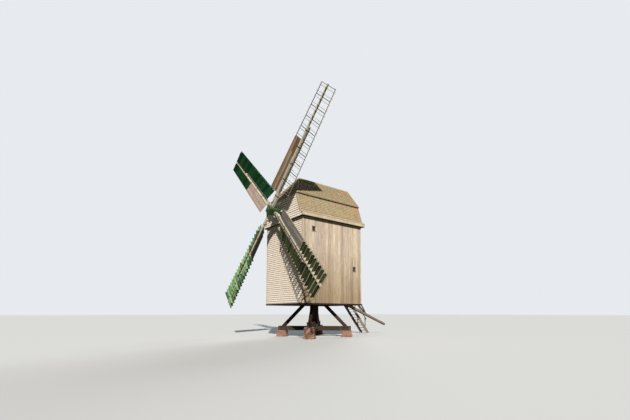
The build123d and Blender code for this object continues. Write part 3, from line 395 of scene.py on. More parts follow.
def grey(tree, value, low, high, dark=0.0, light=1.0):
    """A number brought from one range into another."""
    limits = {"From Min": low, "From Max": high, "To Min": dark, "To Max": light}
    return add(tree, "ShaderNodeMapRange", {"Value": value, **limits}).outputs["Result"]


def blend(tree, factor, first, second, kind="MIX"):
    """Two colours mixed."""
    colours = {0: factor, 6: first, 7: second}
    return add(tree, "ShaderNodeMix", colours, data_type="RGBA", blend_type=kind).outputs[2]


def dim(tree, colour, share):
    """A colour made darker or lighter by a number."""
    shade = add(tree, "ShaderNodeCombineColor", {0: share, 1: share, 2: share}).outputs[0]
    return blend(tree, 1.0, colour, shade, "MULTIPLY")


def noise(tree, vector, stretch, detail=4.0, distortion=0.0, roughness=0.55):
    """Noise over stretched coordinates."""
    mapped = add(tree, "ShaderNodeMapping", {"Vector": vector, "Scale": stretch})
    made = add(tree, "ShaderNodeTexNoise", {
        "Vector": mapped.outputs[0], "Scale": 1.0, "Detail": detail,
        "Roughness": roughness, "Distortion": distortion,
    })
    return made.outputs["Fac"]


def note(tree, name, output="Fac"):
    """A note that the pieces carry on their points."""
    return add(tree, "ShaderNodeAttribute", attribute_name=name).outputs[output]


def srgb(code):
    """A colour written as on web pages turned into the linear values that nodes use."""
    parts = [int(code[i:i + 2], 16) / 255 for i in (0, 2, 4)]
    return (*(c / 12.92 if c <= 0.04045 else ((c + 0.055) / 1.055) ** 2.4 for c in parts), 1.0)


def start_material(name, roughness):
    """A new material with its tree, its main shader and its coordinates."""
    made = bpy.data.materials.new(name)
    made.use_nodes = True
    tree = made.node_tree
    shader = tree.nodes["Principled BSDF"]
    shader.inputs["Roughness"].default_value = roughness
    return made, tree, shader, add(tree, "ShaderNodeTexCoord").outputs["Object"]


def roughen(tree, shader, heights, strength, distance):
    """Bump from a height."""
    bump = add(tree, "ShaderNodeBump", {"Strength": strength, "Distance": distance, "Height": heights})
    tree.links.new(bump.outputs[0], shader.inputs["Normal"])


print("material tools ready")

# %% [markdown]
# ## Wood
# Weathered wood is mostly three things: fibres much longer than they are wide,
# boards that differ from one another, and stains that pay no heed to the boards
# at all. The fibres come from noise stretched along "grain", the boards from
# "tone", and the stains from broad noise on the object's own coordinates, drawn
# out downwards where rain has run. One recipe makes every timber of the mill.

# %% Wood recipe
PLAIN_STAIN = (0.12, 0.10, 0.08, 1.0)


def drawn_boards(tree, here, width):
    """Grain, tone and gaps between boards for a solid without notes, fibres along y."""
    apart = add(tree, "ShaderNodeSeparateXYZ", {0: here}).outputs
    turned = {0: apart["Y"], 1: apart["X"], 2: apart["Z"]}
    count = maths(tree, "DIVIDE", apart["X"], width)
    number = {"W": maths(tree, "FLOOR", count)}
    tone = add(tree, "ShaderNodeTexWhiteNoise", number, noise_dimensions="1D").outputs["Value"]
    gaps = grey(tree, maths(tree, "FRACT", count), 0.02, 0.05, 0.3, 1.0)
    return add(tree, "ShaderNodeCombineXYZ", turned).outputs[0], tone, gaps


def wood(name, tones, fibre=0.5, stain=None, stained=0.35, streak=(0.6, 6.0),
         lichen=None, paint=None, wear=0.35, roughness=0.82, painted_foot_shade=None, splash=None, boards=None):
    """Weathered wood: tones are the colours of its boards, stain that of its runs.

    streak is how close the runs are and how long; lichen is a colour that gathers
    to the rear; paint is a fresh and a faded colour, mixed by broad noise and by each
    piece's tone, which on the third sail's shutters paints the shade of one shutter
    on the next; painted_foot_shade is how far a shingle's lower edge is darkened as
    painted shade of the course line, and how dark; splash is a colour that grows
    towards the bottom of a wall, from one height down to another; boards is the
    width of the boards on a solid that has no notes of its own.
    """
    made, tree, shader, here = start_material(name, roughness)
    shader.inputs["Specular IOR Level"].default_value = 0.06
    stain = srgb(stain) if stain else PLAIN_STAIN
    if boards:
        grain, tone, gaps = drawn_boards(tree, here, boards)
    else:
        grain, tone = note(tree, "grain", "Vector"), note(tree, "tone")
    coarse = noise(tree, grain, (0.9, 16, 16), 5, 0.8)
    fine = noise(tree, grain, (3.5, 120, 120), 3, 0.2)
    board = ramp(tree, tone, tones)
    board = dim(tree, board, grey(tree, coarse, 0.3, 0.7, 1.0 - fibre * 0.55, 1.0 + fibre * 0.30))
    board = dim(tree, board, grey(tree, fine, 0.36, 0.62, 1.0 - fibre * 0.5, 1.0))
    if boards:
        board = dim(tree, board, gaps)
    # Painted shade: each shingle is darkened at its lower edge to draw the shadow line at every course.
    if painted_foot_shade:
        board = dim(tree, board, grey(tree, note(tree, "foot"), 0.0, painted_foot_shade[0], painted_foot_shade[1], 1.0))
    apart = add(tree, "ShaderNodeSeparateXYZ", {0: here}).outputs if splash or lichen else None
    if splash:
        colour, low, high = splash
        uneven = noise(tree, here, (0.9, 0.9, 0.25), 4, 0.5)
        damp = grey(tree, maths(tree, "ADD", apart["Z"], uneven), low, high, 1.0, 0.0)
        board = blend(tree, damp, board, srgb(colour), "MULTIPLY")
    close, long = streak
    runs = noise(tree, here, (close * 4, close * 4, close * 4 / long), 5, 0.5)
    board = blend(tree, grey(tree, runs, 0.5, 0.78, 0.0, stained), board, stain)
    if lichen:
        patches = noise(tree, here, (1.3, 1.3, 1.3), 8, 0.3, 0.65)
        patches = maths(tree, "ADD", patches, grey(tree, apart["Y"], 0.5, 4.2, 0.0, 0.12))
        board = blend(tree, grey(tree, patches, 0.55, 0.68, 0.0, 0.5), board, srgb(lichen))
    if paint:
        chips = noise(tree, grain, (1.5, 14, 14), 6, 0.4, 0.7)
        cover = grey(tree, chips, 0.28 + wear * 0.35, 0.34 + wear * 0.35)
        # Each piece's tone joins the fade: on the third sail, whose two greens lie far apart, neighbouring
        # shutters alternate light and dark as painted shade of one shutter on the next.
        fade_and_stripe_shade = grey(tree, maths(tree, "ADD", coarse, tone), 0.7, 1.25)
        coat = blend(tree, fade_and_stripe_shade, srgb(paint[0]), srgb(paint[1]))
        coat = blend(tree, grey(tree, runs, 0.5, 0.8, 0.0, stained), coat, stain)
        board = blend(tree, cover, board, coat)
    tree.links.new(board, shader.inputs["Base Color"])
    roughen(tree, shader, maths(tree, "ADD", coarse, fine), 0.5, 0.006)
    rough = grey(tree, coarse, 0.3, 0.7, roughness + 0.1, roughness - 0.08)
    tree.links.new(rough, shader.inputs["Roughness"])
    return made


print("wood recipe ready")

# %% [markdown]
# ## The mill's woods
# Colours are written as on web pages: two digits each for red, green and blue,
# with letters for the digits above nine. The same oak looks quite
# different where it is tarred, painted, new, or bleached by sun and rain, and
# the sails were mended at different times, so each has its own boards and paint.
# The third sail's boards are darkened to near black as painted shade, and the
# green of its shutters swings from dark to light as painted shade between them.

# %% Woods of the mill
TARRED_OAK = wood("tarred_oak", "342c26 463a30 54463a", 0.8, "1e1a18", 0.4)
BODY_BOARDS = wood(
    "body_boards",
    "ae9a84 d8c7b1 c0b2a3 e3d2ba b8a895 dccdbb",
    0.6, "8c7660", 0.5, (0.9, 14.0), splash=("ccc2b2", 3.8, 8.2),
)
# The three shingle woods below darken each shingle's lower edge as painted shade of the course line.
FRONT_WOOD = wood(
    "front_shingle_wood", "f4e3cf fcefdf f7e7d7 fdf2e4",
    0.25, "d8bea6", 0.3, (0.7, 6.0), painted_foot_shade=(0.045, 0.3),
)
ROOF_WOOD = wood(
    "roof_shingle_wood", "a39373 b1a180 a99b7b baa885",
    0.5, "766a52", 0.4, (0.7, 8.0), "be8658", painted_foot_shade=(0.045, 0.6),
)
EAVE_WOOD = wood(
    "eave_wood", "b6a78e c2b39a cabba2",
    0.4, "8c7e64", 0.3, painted_foot_shade=(0.03, 0.75),
)
RIDGE_WOOD = wood("ridge_wood", "9e9070 b0a282", 0.5, "6e624c", 0.4)
TRIM_WOOD = wood("trim_wood", "c4b298 d4c2a8", 0.5, "82705c", 0.3)
STAIR_WOOD = wood("stair_wood", "7a6c5e 948472 a69682", 0.6, "50463c", 0.4)
DOOR_WOOD = wood("door_wood", "60422e 704e36 684834", 0.5, "3c2e24", 0.4)
# Near black: the sill's wood paints the shade under the body.
SILL_PAINTED_SHADE_WOOD = wood("sill_painted_shade_wood", "362a25 44342d", 0.6, "221b19", 0.5)
FRAME_WOOD = wood("frame_wood", "423c36 544c44", 0.5, "2e2a26", 0.4)
STOCK_WOOD = wood("stock_wood", "b6b4a8 c8c4b8", 0.6, "686256", 0.35)
WHIP_WOOD = wood("whip_wood", "c8bca2 d8ceb6 d0c6ae", 0.5, "786c5a", 0.3)
LATTICE_WOOD = wood(
    "lattice_wood", "928a7a aaa08e b6ac98", 0.5, "60584c", 0.3,
)
BACKING = wood("backing_wood", "54483c 786856 665848", 0.6, boards=0.19)

# %% Boards and paint of the sails
SAIL_BOARDS = [
    wood(f"sail_boards_{number}", tones, fibre, stain, stained)
    for number, tones, fibre, stain, stained in (
        (1, "744e32 a8987e 5a524b 906844 9c8e7a", 0.6, "564434", 0.35),
        (2, "af8878 c3b8ab 98897f ba9889", 0.5, "82685c", 0.35),
        # The third sail's boards are near black: dark wood darkened further as painted shade.
        (3, "2a221d 382d25 221d1a", 0.6, "161312", 0.4),
        (4, "8c8982 a8a49b 7a7771 9b968c", 0.6, "424040", 0.4),
    )
]
GREEN_PAINT = [
    wood(
        f"shutter_paint_{number}", "787462 8c8674", 0.5, "1a281a", 0.35,
        paint=paint, wear=wear, roughness=0.6,
    )
    for number, paint, wear in (
        (1, ("365438", "547050"), 0.4),
        (2, ("123420", "204c2c"), 0.1),
        # The third sail's greens lie far apart, so that with each shutter's tone they paint the shade that
        # one shutter throws on the next.
        (3, ("1c4426", "749c68"), 0.35),
        (4, ("2e3c22", "5f6c44"), 0.35),
    )
]
LATTICE_WOODS = [STAIR_WOOD, GREEN_PAINT[1], GREEN_PAINT[2], LATTICE_WOOD]
print(len(bpy.data.materials), "materials so far")

# %% [markdown]
# ## Iron, brick, mortar and glass
# Rust breaks through paint in patches, so iron mixes two noises: broad ones say
# where the rust sits, fine ones give it grit. Bricks read the same notes as the
# timbers, because each was fired to its own tone. Old glass is wavy and dusty.

# %% Iron, brick, mortar and glass
def iron(name, base, amount):
    """Old iron or painted iron with rust breaking through."""
    made, tree, shader, here = start_material(name, 0.6)
    patches = noise(tree, here, (4, 4, 4), 8, 0.4, 0.7)
    grit = noise(tree, here, (60, 60, 60))
    colour = blend(tree, grey(tree, grit, 0.3, 0.7), srgb(base[0]), srgb(base[1]))
    rust = blend(tree, grit, srgb("5c3622"), srgb("845030"))
    cover = grey(tree, patches, 0.62 - amount * 0.25, 0.70 - amount * 0.25)
    tree.links.new(blend(tree, cover, colour, rust), shader.inputs["Base Color"])
    tree.links.new(grey(tree, patches, 0.4, 0.7, 0.48, 0.85), shader.inputs["Roughness"])
    roughen(tree, shader, maths(tree, "ADD", patches, grit), 0.35, 0.004)
    return made


def brick(name):
    """Fired clay: each brick has its own tone, with pits and pale bloom."""
    made, tree, shader, _ = start_material(name, 0.9)
    grain = note(tree, "grain", "Vector")
    clay = ramp(tree, note(tree, "tone"), "6e4636 8e5e48 a0725a 7e5c4c", (0.0, 0.35, 0.7, 1.0))
    pits = noise(tree, grain, (30, 30, 30), 6, 0.0, 0.7)
    clay = blend(tree, grey(tree, pits, 0.35, 0.75, 0.0, 0.5), clay, srgb("54342a"))
    bloom = noise(tree, grain, (5, 5, 5), 5)
    clay = blend(tree, grey(tree, bloom, 0.56, 0.75, 0.0, 0.4), clay, srgb("c4b09c"))
    tree.links.new(clay, shader.inputs["Base Color"])
    roughen(tree, shader, pits, 0.6, 0.004)
    return made


def mortar(name):
    """Sandy lime mortar."""
    made, tree, shader, here = start_material(name, 0.95)
    sand = noise(tree, here, (90, 90, 90))
    damp = noise(tree, here, (3, 3, 3), 5)
    colour = blend(tree, grey(tree, sand, 0.3, 0.7), srgb("968c7c"), srgb("bab09e"))
    colour = blend(tree, grey(tree, damp, 0.45, 0.75, 0.0, 0.5), colour, srgb("686052"))
    tree.links.new(colour, shader.inputs["Base Color"])
    roughen(tree, shader, sand, 0.5, 0.003)
    return made


def glass(name):
    """Old window glass, slightly wavy and dusty."""
    made, tree, shader, here = start_material(name, 0.08)
    dust = noise(tree, here, (6, 6, 6), 6)
    colour = blend(tree, grey(tree, dust, 0.4, 0.75), srgb("22282a"), srgb("686a64"))
    tree.links.new(colour, shader.inputs["Base Color"])
    tree.links.new(grey(tree, dust, 0.4, 0.8, 0.05, 0.4), shader.inputs["Roughness"])
    shader.inputs["Transmission Weight"].default_value = 0.25
    roughen(tree, shader, noise(tree, here, (5, 5, 5), 2), 0.15, 0.01)
    return made


DARK_IRON = iron("dark_iron", ("2e2c2a", "423e3a"), 0.5)
# The poll's green is darkened beyond its paint as painted shade of the hub.
SHADED_POLL_GREEN = iron("poll_green_shaded", ("0e280c", "24501a"), 0.25)
BRICK, MORTAR, OLD_GLASS = brick("brick"), mortar("mortar"), glass("old_glass")
print(len(bpy.data.materials), "materials in all")

# %% [markdown]
# ## Brick piers
# Four piers carry the trestle and keep its feet off the damp ground. Each is a
# core of mortar with bricks laid round it. The bricks are real blocks with worn
# edges, half a brick out of step from one course to the next, so that the light
# catches every joint. Two piers are taller, because one cross tree lies over the
# other.

# %% Piers
PIER_CENTRE, PIER_TOPS = 2.98, (0.56, 0.96)
PIER_WIDE, FOOT_WIDE, FOOT_HIGH = 0.85, 0.97, 0.18
BRICK_LONG, BRICK_DEEP, BRICK_HIGH, JOINT = 0.25, 0.11, 0.065, 0.012
TURNS = [radians(45 + 90 * index) for index in range(4)]

bricks, cores = new_stack(), new_stack()
rng = Random(11)


def brick_ring(centre, turn, wide, low, high, half_step):
    """One course of bricks round a square pier."""
    count = round((wide - BRICK_DEEP) / BRICK_LONG)
    run = (wide - BRICK_DEEP) / count
    for k in range(4):
        out = Vector((cos(turn + pi / 2 * k), sin(turn + pi / 2 * k), 0))
        along = Vector((-out.y, out.x, 0))
        for i in range(count):
            middle = -wide / 2 + BRICK_DEEP * half_step + run * (i + 0.5)
            spot = centre + out * (wide - BRICK_DEEP) / 2 + along * middle
            spot.z = (low + high) / 2
            small = block(run - JOINT, BRICK_DEEP * rng.uniform(0.985, 1.0), high - low, 0.004)
            lay(small, bricks, place(spot, along, UP), rng)


for index, turn in enumerate(TURNS):
    out = Vector((cos(turn), sin(turn), 0))
    centre, top = out * PIER_CENTRE, PIER_TOPS[index % 2]
    for wide, start, end in ((FOOT_WIDE, 0.0, FOOT_HIGH), (PIER_WIDE, FOOT_HIGH, top)):
        courses = round((end - start) / (BRICK_HIGH + JOINT))
        rise = (end - start) / courses
        for course in range(courses):
            low = start + rise * course + (JOINT / 2 if course else 0.0)
            high = start + rise * (course + 1) - JOINT / 2
            brick_ring(centre, turn, wide, low, high, course % 2)
        core = block(end - start, wide - 2 * JOINT, wide - 2 * JOINT)
        lay(core, cores, place(centre + UP * (start + end) / 2, UP, out), rng, PLAIN)
piece_from(bricks, "pier_bricks", BRICK, "trestle", "brick", "brick_piers")
piece_from(cores, "pier_mortar", MORTAR, "trestle", "brick")

# %% [markdown]
# ## Trestle
# Two cross trees lie over one another on the piers, and four slanting quarter
# bars lean from their ends against the post. On the real mill they are hewn oak,
# black with tar and age. Iron straps hold the feet of the quarter bars down.

# %% Trestle timbers
for seed, node, round_below in (
    (21, "lower_cross_tree", None), (22, "upper_cross_tree", None), (23, "quarter_bars", None),
    (24, "main_post", 30), (25, "saddle_ring", 30),
):
    dressed(node, TARRED_OAK, "trestle", "oak_timber", 0.012, seed, round_below)

# %% Trestle straps
STRAP_PLACES, STRAP_OUT, STRAP_HIGH = (3.22, 2.42), 0.194, 0.40
STRAP_WIDE, STRAP_THICK = 0.06, 0.008

irons = new_stack()
rng = Random(26)
for index, turn in enumerate(TURNS):
    arm, beside = Vector((cos(turn), sin(turn), 0)), Vector((-sin(turn), cos(turn), 0))
    for r in STRAP_PLACES:
        base = arm * r + UP * PIER_TOPS[index % 2]
        for side in (1, -1):
            out = beside * side
            foot = base + out * STRAP_OUT
            stick(irons, foot, foot + UP * STRAP_HIGH, STRAP_WIDE, STRAP_THICK, out, rng, 0.001, PLAIN)
            for height in (0.09, 0.31):
                bolt(irons, foot + out * STRAP_THICK / 2 + UP * height, out, 0.017, rng)
        over, reach = base + UP * (STRAP_HIGH + STRAP_THICK / 2), beside * (STRAP_OUT + STRAP_THICK / 2)
        stick(irons, over - reach, over + reach, STRAP_WIDE, STRAP_THICK, UP, rng, 0.001, PLAIN)
piece_from(irons, "trestle_straps", DARK_IRON, "trestle", "iron")

# %% [markdown]
# ## Floors and beams
# The body hangs on the crown tree, a great beam that rests on the post's pin.
# Two sheers under the lower floor steady it. From outside one sees them only
# from below, but they are there.

# %% Body timbers
for number, node in enumerate(("crown_tree", "floor_sheers", "shaft_beams", "roof_frames")):
    dressed(node, TARRED_OAK, "mill_body", "oak_timber", 0.01, 30 + number)
for number, node in enumerate(("lower_floor", "upper_floor")):
    dressed(node, STAIR_WOOD, "mill_body", "floor_boards", 0.004, 40 + number)

# %% [markdown]
# ## Shingles
# A shingle is a split board, thick at its foot and thin at its head, and each
# course covers the heads of the one below. The field of shingles is laid course
# by course from the bottom. Widths, heights and tilts vary a little; where a
# sloping edge crosses a shingle, we cut that shingle with a plane and close the
# cut.

# %% Laying shingles
SHINGLE_HEAD, SHINGLE_GAP, SHINGLE_LIFT, LAP = 0.004, 0.005, 0.011, 1.6
TOO_NARROW, UNEVEN, THICKNESS, SKEW = 0.02, 0.012, (0.8, 1.15), 0.5
ON_PLANE = 1e-5


def cut_small(small, where, planes):
    """Cuts a small piece by planes given in the mill's coordinates. False if nothing is left."""
    back = where.inverted()
    for point, away in planes:
        local_point = back @ Vector(point)
        local_away = back.to_3x3() @ Vector(away)
        sides = [(v.co - local_point).dot(local_away) for v in small.verts]
        if min(sides) >= -ON_PLANE:
            return False
        if max(sides) <= ON_PLANE:
            continue
        cut = bmesh.ops.bisect_plane(
            small, geom=small.verts[:] + small.edges[:] + small.faces[:], dist=ON_PLANE,
            plane_co=local_point, plane_no=local_away, clear_outer=True,
        )["geom_cut"]
        bmesh.ops.edgeloop_fill(small, edges=[e for e in cut if isinstance(e, bmesh.types.BMEdge)])
    return True


def lay_cut(small, stack, where, planes, rng, tone=None):
    """Cuts a small piece by planes and lays what is left of it."""
    if cut_small(small, where, planes):
        lay(small, stack, where, rng, tone)
    else:
        small.free()


def wedge(length, width, foot, head):
    """A shingle: x from its foot up to its head, z out of the wall."""
    small = bmesh.new()
    bmesh.ops.create_cube(small, size=1.0)
    bmesh.ops.translate(small, vec=(0.5, 0, 0.5), verts=small.verts)
    bmesh.ops.scale(small, vec=(length, width, foot), verts=small.verts)
    upper = [v for v in small.verts if v.co.x > length / 2 and v.co.z > foot / 2]
    bmesh.ops.translate(small, vec=(0, 0, head - foot), verts=upper)
    return small


def shingle(stack, corner, along, up, wide, high, course, seed, foot, widths, planes=(), hole=None):
    """Lays courses of shingles over a flat field, from its lower left corner."""
    rng = Random(seed)
    corner, along, up = Vector(corner), Vector(along).normalized(), Vector(up).normalized()
    out = along.cross(up)
    rows = max(1, round(high / course))
    course = high / rows
    for row in range(rows):
        s = -rng.uniform(0, widths[0])
        while s < wide:
            width = rng.uniform(*widths)
            left, right = max(s, 0.0), min(s + width, wide)
            s += width
            if right - left < TOO_NARROW:
                continue
            height = row * course - rng.uniform(0.0, UNEVEN) * (row > 0)
            length = min(course * LAP, high - height)
            middle = (left + right) / 2
            if hole and hole[0] < middle < hole[1] and hole[2] < height + course / 2 < hole[3]:
                continue
            small = wedge(length, right - left - SHINGLE_GAP, foot * rng.uniform(*THICKNESS), SHINGLE_HEAD)
            lean = Matrix.Rotation(atan2(SHINGLE_LIFT, length), 4, "Y")
            skew = Matrix.Rotation(radians(rng.uniform(-SKEW, SKEW)), 4, "Z")
            where = Matrix((up, -along, out)).transposed().to_4x4()
            where.translation = corner + along * middle + up * height + out * SHINGLE_LIFT
            lay_cut(small, stack, where @ (lean @ skew), planes, rng)


# %% [markdown]
# ## Front wall
# The weather side of the mill is covered with pale shingles. The upper part, the
# gable, stands forward of the wall below it, so it has its own fields, cut to the
# bent line of the roof, with a gap for the neck of the windshaft. The roof's line
# bends outwards at the flare, so a shingle is cut only by the planes of its own
# part; all planes at once would cut a notch out of the gable.

# %% Front shingles
RIGHT_X, FRONT_Y, REAR_Y = 2.86, -3.36, 3.20
BOTTOM_Z, EAVE_Z, FLARE_Z, BREAK_Z, GABLE_TOP = 2.83, 10.07, 10.64, 12.13, 14.38
GABLE_Y, REAR_GABLE_Y, GABLE_X = -3.59, 3.43, 3.19
ROOF_LINE = [(GABLE_X, EAVE_Z), (GABLE_X, 10.33), (2.83, FLARE_Z), (2.33, BREAK_Z), (0.0, GABLE_TOP)]
FRONT_COURSE, FRONT_FOOT, FRONT_WIDTHS, GABLE_INSET = 0.1765, 0.030, (0.09, 0.15), 0.05
NECK_HOLE = (GABLE_X - 0.21, GABLE_X + 0.21, -0.02, 0.43)


def away_from(x1, z1, x2, z2, side):
    """The direction that points out of a line of the roof."""
    return Vector((side * (z2 - z1), 0, x1 - x2)).normalized()


def gable_planes(inset, part):
    """Planes that cut a gable's covering to the flare, part 0, or to the slopes above it, part 1."""
    planes = []
    corners = ROOF_LINE[2 * part:2 * part + 3]
    for side in (1, -1):
        for (x1, z1), (x2, z2) in zip(corners, corners[1:]):
            away = away_from(x1, z1, x2, z2, side)
            planes.append((Vector((side * x1, 0, z1)) - away * inset, away))
    return planes


front = new_stack()
for half_wide, y, low, high, seed, planes, hole in (
    (RIGHT_X, FRONT_Y, BOTTOM_Z, EAVE_Z, 51, (), None),
    (GABLE_X, GABLE_Y, EAVE_Z, FLARE_Z, 52, gable_planes(GABLE_INSET, 0), None),
    (GABLE_X, GABLE_Y, FLARE_Z, BREAK_Z, 53, gable_planes(GABLE_INSET, 1), NECK_HOLE),
):
    shingle(
        front, (-half_wide, y, low), (1, 0, 0), UP, 2 * half_wide, high - low, FRONT_COURSE, seed,
        FRONT_FOOT, FRONT_WIDTHS, planes, hole,
    )
piece_from(front, "front_shingle_cover", FRONT_WOOD, "mill_body", "front_shingles")

# %% [markdown]
# ## Boards
# The other three walls are boarded upright. Boards are cut round the windows and
# the door: each board starts as one tall rectangle, and every opening that it
# meets is taken out of it. Some boards were too short for the height and have a
# butt joint.

# %% Laying boards
BOARD_WIDE, BOARD_THICK, BOARD_GAP, JOINT_GAP, BOARD_BEVEL = 0.29, 0.026, 0.010, 0.003, 0.004
JOINTED, JOINT_BETWEEN, SLIVER_WIDE, SLIVER_LONG, TONE_STEP = 0.4, (0.35, 0.75), 0.012, 0.03, 0.37


def without(rectangles, hole):
    """Rectangles (left, right, low, high) with one hole taken out of them."""
    a, b, c, d = hole
    result = []
    for left, right, low, high in rectangles:
        if right <= a or left >= b or high <= c or low >= d:
            result.append((left, right, low, high))
            continue
        if low < c:
            result.append((left, right, low, c))
        if high > d:
            result.append((left, right, d, high))
        if left < a:
            result.append((left, a, max(low, c), min(high, d)))
        if right > b:
            result.append((b, right, max(low, c), min(high, d)))
    return result


def board_up(stack, corner, along, wide, high, seed, holes=(), planes=()):
    """Covers a wall with upright boards from its lower left corner."""
    rng = Random(seed)
    corner, along = Vector(corner), Vector(along)
    out = along.cross(UP)
    s = 0.0
    while s < wide - 0.01:
        width = rng.uniform(BOARD_WIDE * 0.9, BOARD_WIDE * 1.1)
        if wide - s - width < BOARD_WIDE * 0.5:
            width = wide - s
        joint = rng.uniform(*JOINT_BETWEEN) * high if rng.random() < JOINTED else None
        rectangles = [(s, s + width, 0.0, high)]
        if joint:
            rectangles = [(s, s + width, 0.0, joint), (s, s + width, joint, high)]
        for hole in holes:
            rectangles = without(rectangles, hole)
        tone, depth = rng.random(), BOARD_THICK * rng.uniform(0.85, 1.15)
        for left, right, low, top in rectangles:
            if right - left < SLIVER_WIDE or top - low < SLIVER_LONG:
                continue
            if joint and low > 0:
                tone = (tone + TONE_STEP) % 1.0
            small = block(top - low - JOINT_GAP, right - left - BOARD_GAP, depth, BOARD_BEVEL)
            spot = corner + along * (left + right) / 2 + UP * (low + top) / 2 + out * depth / 2
            lay_cut(small, stack, place(spot, UP, out), planes, rng, tone)
        s += width


# %% Side and rear boards
WINDOW_WIDE, WINDOW_HIGH = 0.26, 0.38
SIDE_WINDOWS, REAR_WINDOW_Z = [(-2.28, 9.14), (2.35, 6.08)], 9.14
DOOR_LEFT, DOOR_RIGHT, DOOR_LOW, DOOR_HIGH = -1.40, -0.50, 4.532, 6.432
REAR_GABLE_INSET = 0.12


def window_hole(s, z):
    """A window as (left, right, low, high) on a wall, above the body's bottom."""
    middle, half, tall = z - BOTTOM_Z, WINDOW_WIDE / 2, WINDOW_HIGH / 2
    return (s - half, s + half, middle - tall, middle + tall)


boards = new_stack()
side_long, wall_high = REAR_Y - FRONT_Y, EAVE_Z - BOTTOM_Z
door_hole = (RIGHT_X - DOOR_RIGHT, RIGHT_X - DOOR_LEFT, DOOR_LOW - BOTTOM_Z, DOOR_HIGH - BOTTOM_Z)
for x, y, along, wide, seed, holes in (
    (RIGHT_X, FRONT_Y, (0, 1, 0), side_long, 61, [window_hole(y - FRONT_Y, z) for y, z in SIDE_WINDOWS]),
    (-RIGHT_X, REAR_Y, (0, -1, 0), side_long, 62, [window_hole(REAR_Y - y, z) for y, z in SIDE_WINDOWS]),
    (RIGHT_X, REAR_Y, (-1, 0, 0), 2 * RIGHT_X, 63, [door_hole, window_hole(RIGHT_X, REAR_WINDOW_Z)]),
):
    board_up(boards, (x, y, BOTTOM_Z), along, wide, wall_high, seed, holes)
for part, low, top in ((0, EAVE_Z, FLARE_Z), (1, FLARE_Z, GABLE_TOP)):
    planes = gable_planes(REAR_GABLE_INSET, part)
    board_up(boards, (GABLE_X, REAR_GABLE_Y, low), (-1, 0, 0), 2 * GABLE_X, top - low, 64 + part, (), planes)
piece_from(boards, "wall_boards", BODY_BOARDS, "mill_body", "side_boards")

# %% [markdown]
# ## Roof
# The roof bends twice: a flare at the eave, a steep lower slope and a flatter
# upper one. Above the break the front leans back to the ridge, so that the sails
# have air behind them, and at the rear the ridge reaches out over the gable. Each
# face is a field of shingles of its own, cut by the planes of its neighbours. The
# shingles of the flare are newer and paler.

# %% Roof shingles
ROOF_FRONT, ROOF_BACK, RIDGE_FRONT, RIDGE_BACK = -3.61, 3.45, -1.76, 4.22
UPPER_FOOT, RIDGE_TOP = (2.472, 12.118), (0.0, 14.505)
ROOF_COURSE, ROOF_FOOT, ROOF_WIDTHS = 0.17, 0.018, (0.10, 0.16)
HIP_HALF, HIP_SPARE, HIP_PAST = 2.5, 0.02, 0.02
HIP_FOOT, VERGE_FOOT = Vector((0, ROOF_FRONT, BREAK_Z)), Vector((0, ROOF_BACK, BREAK_Z))
HIP_UP = Vector((0, RIDGE_FRONT - ROOF_FRONT, RIDGE_TOP[1] - BREAK_Z))
VERGE_UP = Vector((0, RIDGE_BACK - ROOF_BACK, RIDGE_TOP[1] - BREAK_Z))
HIP_OUT = Vector((1, 0, 0)).cross(HIP_UP).normalized()
VERGE_OUT = VERGE_UP.cross(Vector((1, 0, 0))).normalized()


def roof_field(stack, foot, head, side, course, seed, rear=ROOF_BACK, planes=(), back=0.0):
    """Shingles on one slope, from its foot to its head."""
    up = Vector((side * (head[0] - foot[0]), 0, head[1] - foot[1]))
    start = (side * foot[0], ROOF_FRONT if side > 0 else rear, foot[1])
    wide, high = rear - ROOF_FRONT, up.length - back
    shingle(stack, start, (0, side, 0), up, wide, high, course, seed, ROOF_FOOT, ROOF_WIDTHS, planes)


roof, eaves = new_stack(), new_stack()
ends = [(HIP_FOOT, HIP_OUT), (VERGE_FOOT, VERGE_OUT)]
eave_foot, eave_head, break_foot, break_head = ROOF_LINE[:4]
for side, seed in ((1, 70), (-1, 80)):
    roof_field(roof, UPPER_FOOT, RIDGE_TOP, side, ROOF_COURSE, seed, RIDGE_BACK, ends, 0.05)
    roof_field(roof, break_foot, break_head, side, ROOF_COURSE, seed + 1, back=0.02)
    roof_field(eaves, eave_head, break_foot, side, 0.16, seed + 2)
    roof_field(eaves, eave_foot, eave_head, side, 0.26, seed + 3)
slope_out = {side: away_from(*UPPER_FOOT, *RIDGE_TOP, side) for side in (1, -1)}
slope_top = Vector((0, 0, RIDGE_TOP[1]))
shingle(
    roof, HIP_FOOT - HIP_UP * HIP_SPARE - Vector((HIP_HALF, 0, 0)), (1, 0, 0), HIP_UP, 2 * HIP_HALF,
    HIP_UP.length * (1 + HIP_SPARE), ROOF_COURSE, 75, ROOF_FOOT, ROOF_WIDTHS,
    [(slope_top + out * HIP_PAST, out) for out in slope_out.values()],
)
piece_from(roof, "roof_shingle_cover", ROOF_WOOD, "mill_body", "roof_shingles")
piece_from(eaves, "eave_shingle_cover", EAVE_WOOD, "mill_body", "eave_boards")
dressed("ridge_board", RIDGE_WOOD, "mill_body", "ridge_wood", 0.006, 90)
dressed("eave_soffits", TARRED_OAK, "mill_body", "soffit_boards", 0.004, 91)

# %% [markdown]
# ## Trim
# Verge boards close the ends of the roof and corner boards cover the ends of the
# wall boards. They are thin, but without them a building looks like a toy: they
# draw the lines along which the light changes.

# %% Verge and corner boards
VERGE_WIDE, VERGE_THICK, HALF_THICK, VERGE_IN = 0.16, 0.026, 0.014, 0.07
HIP_WIDE, HIP_THICK = 0.12, 0.024
CORNER_WIDE, CORNER_THICK, CORNER_PROUD, CORNER_IN = 0.11, 0.022, 0.036, 0.03

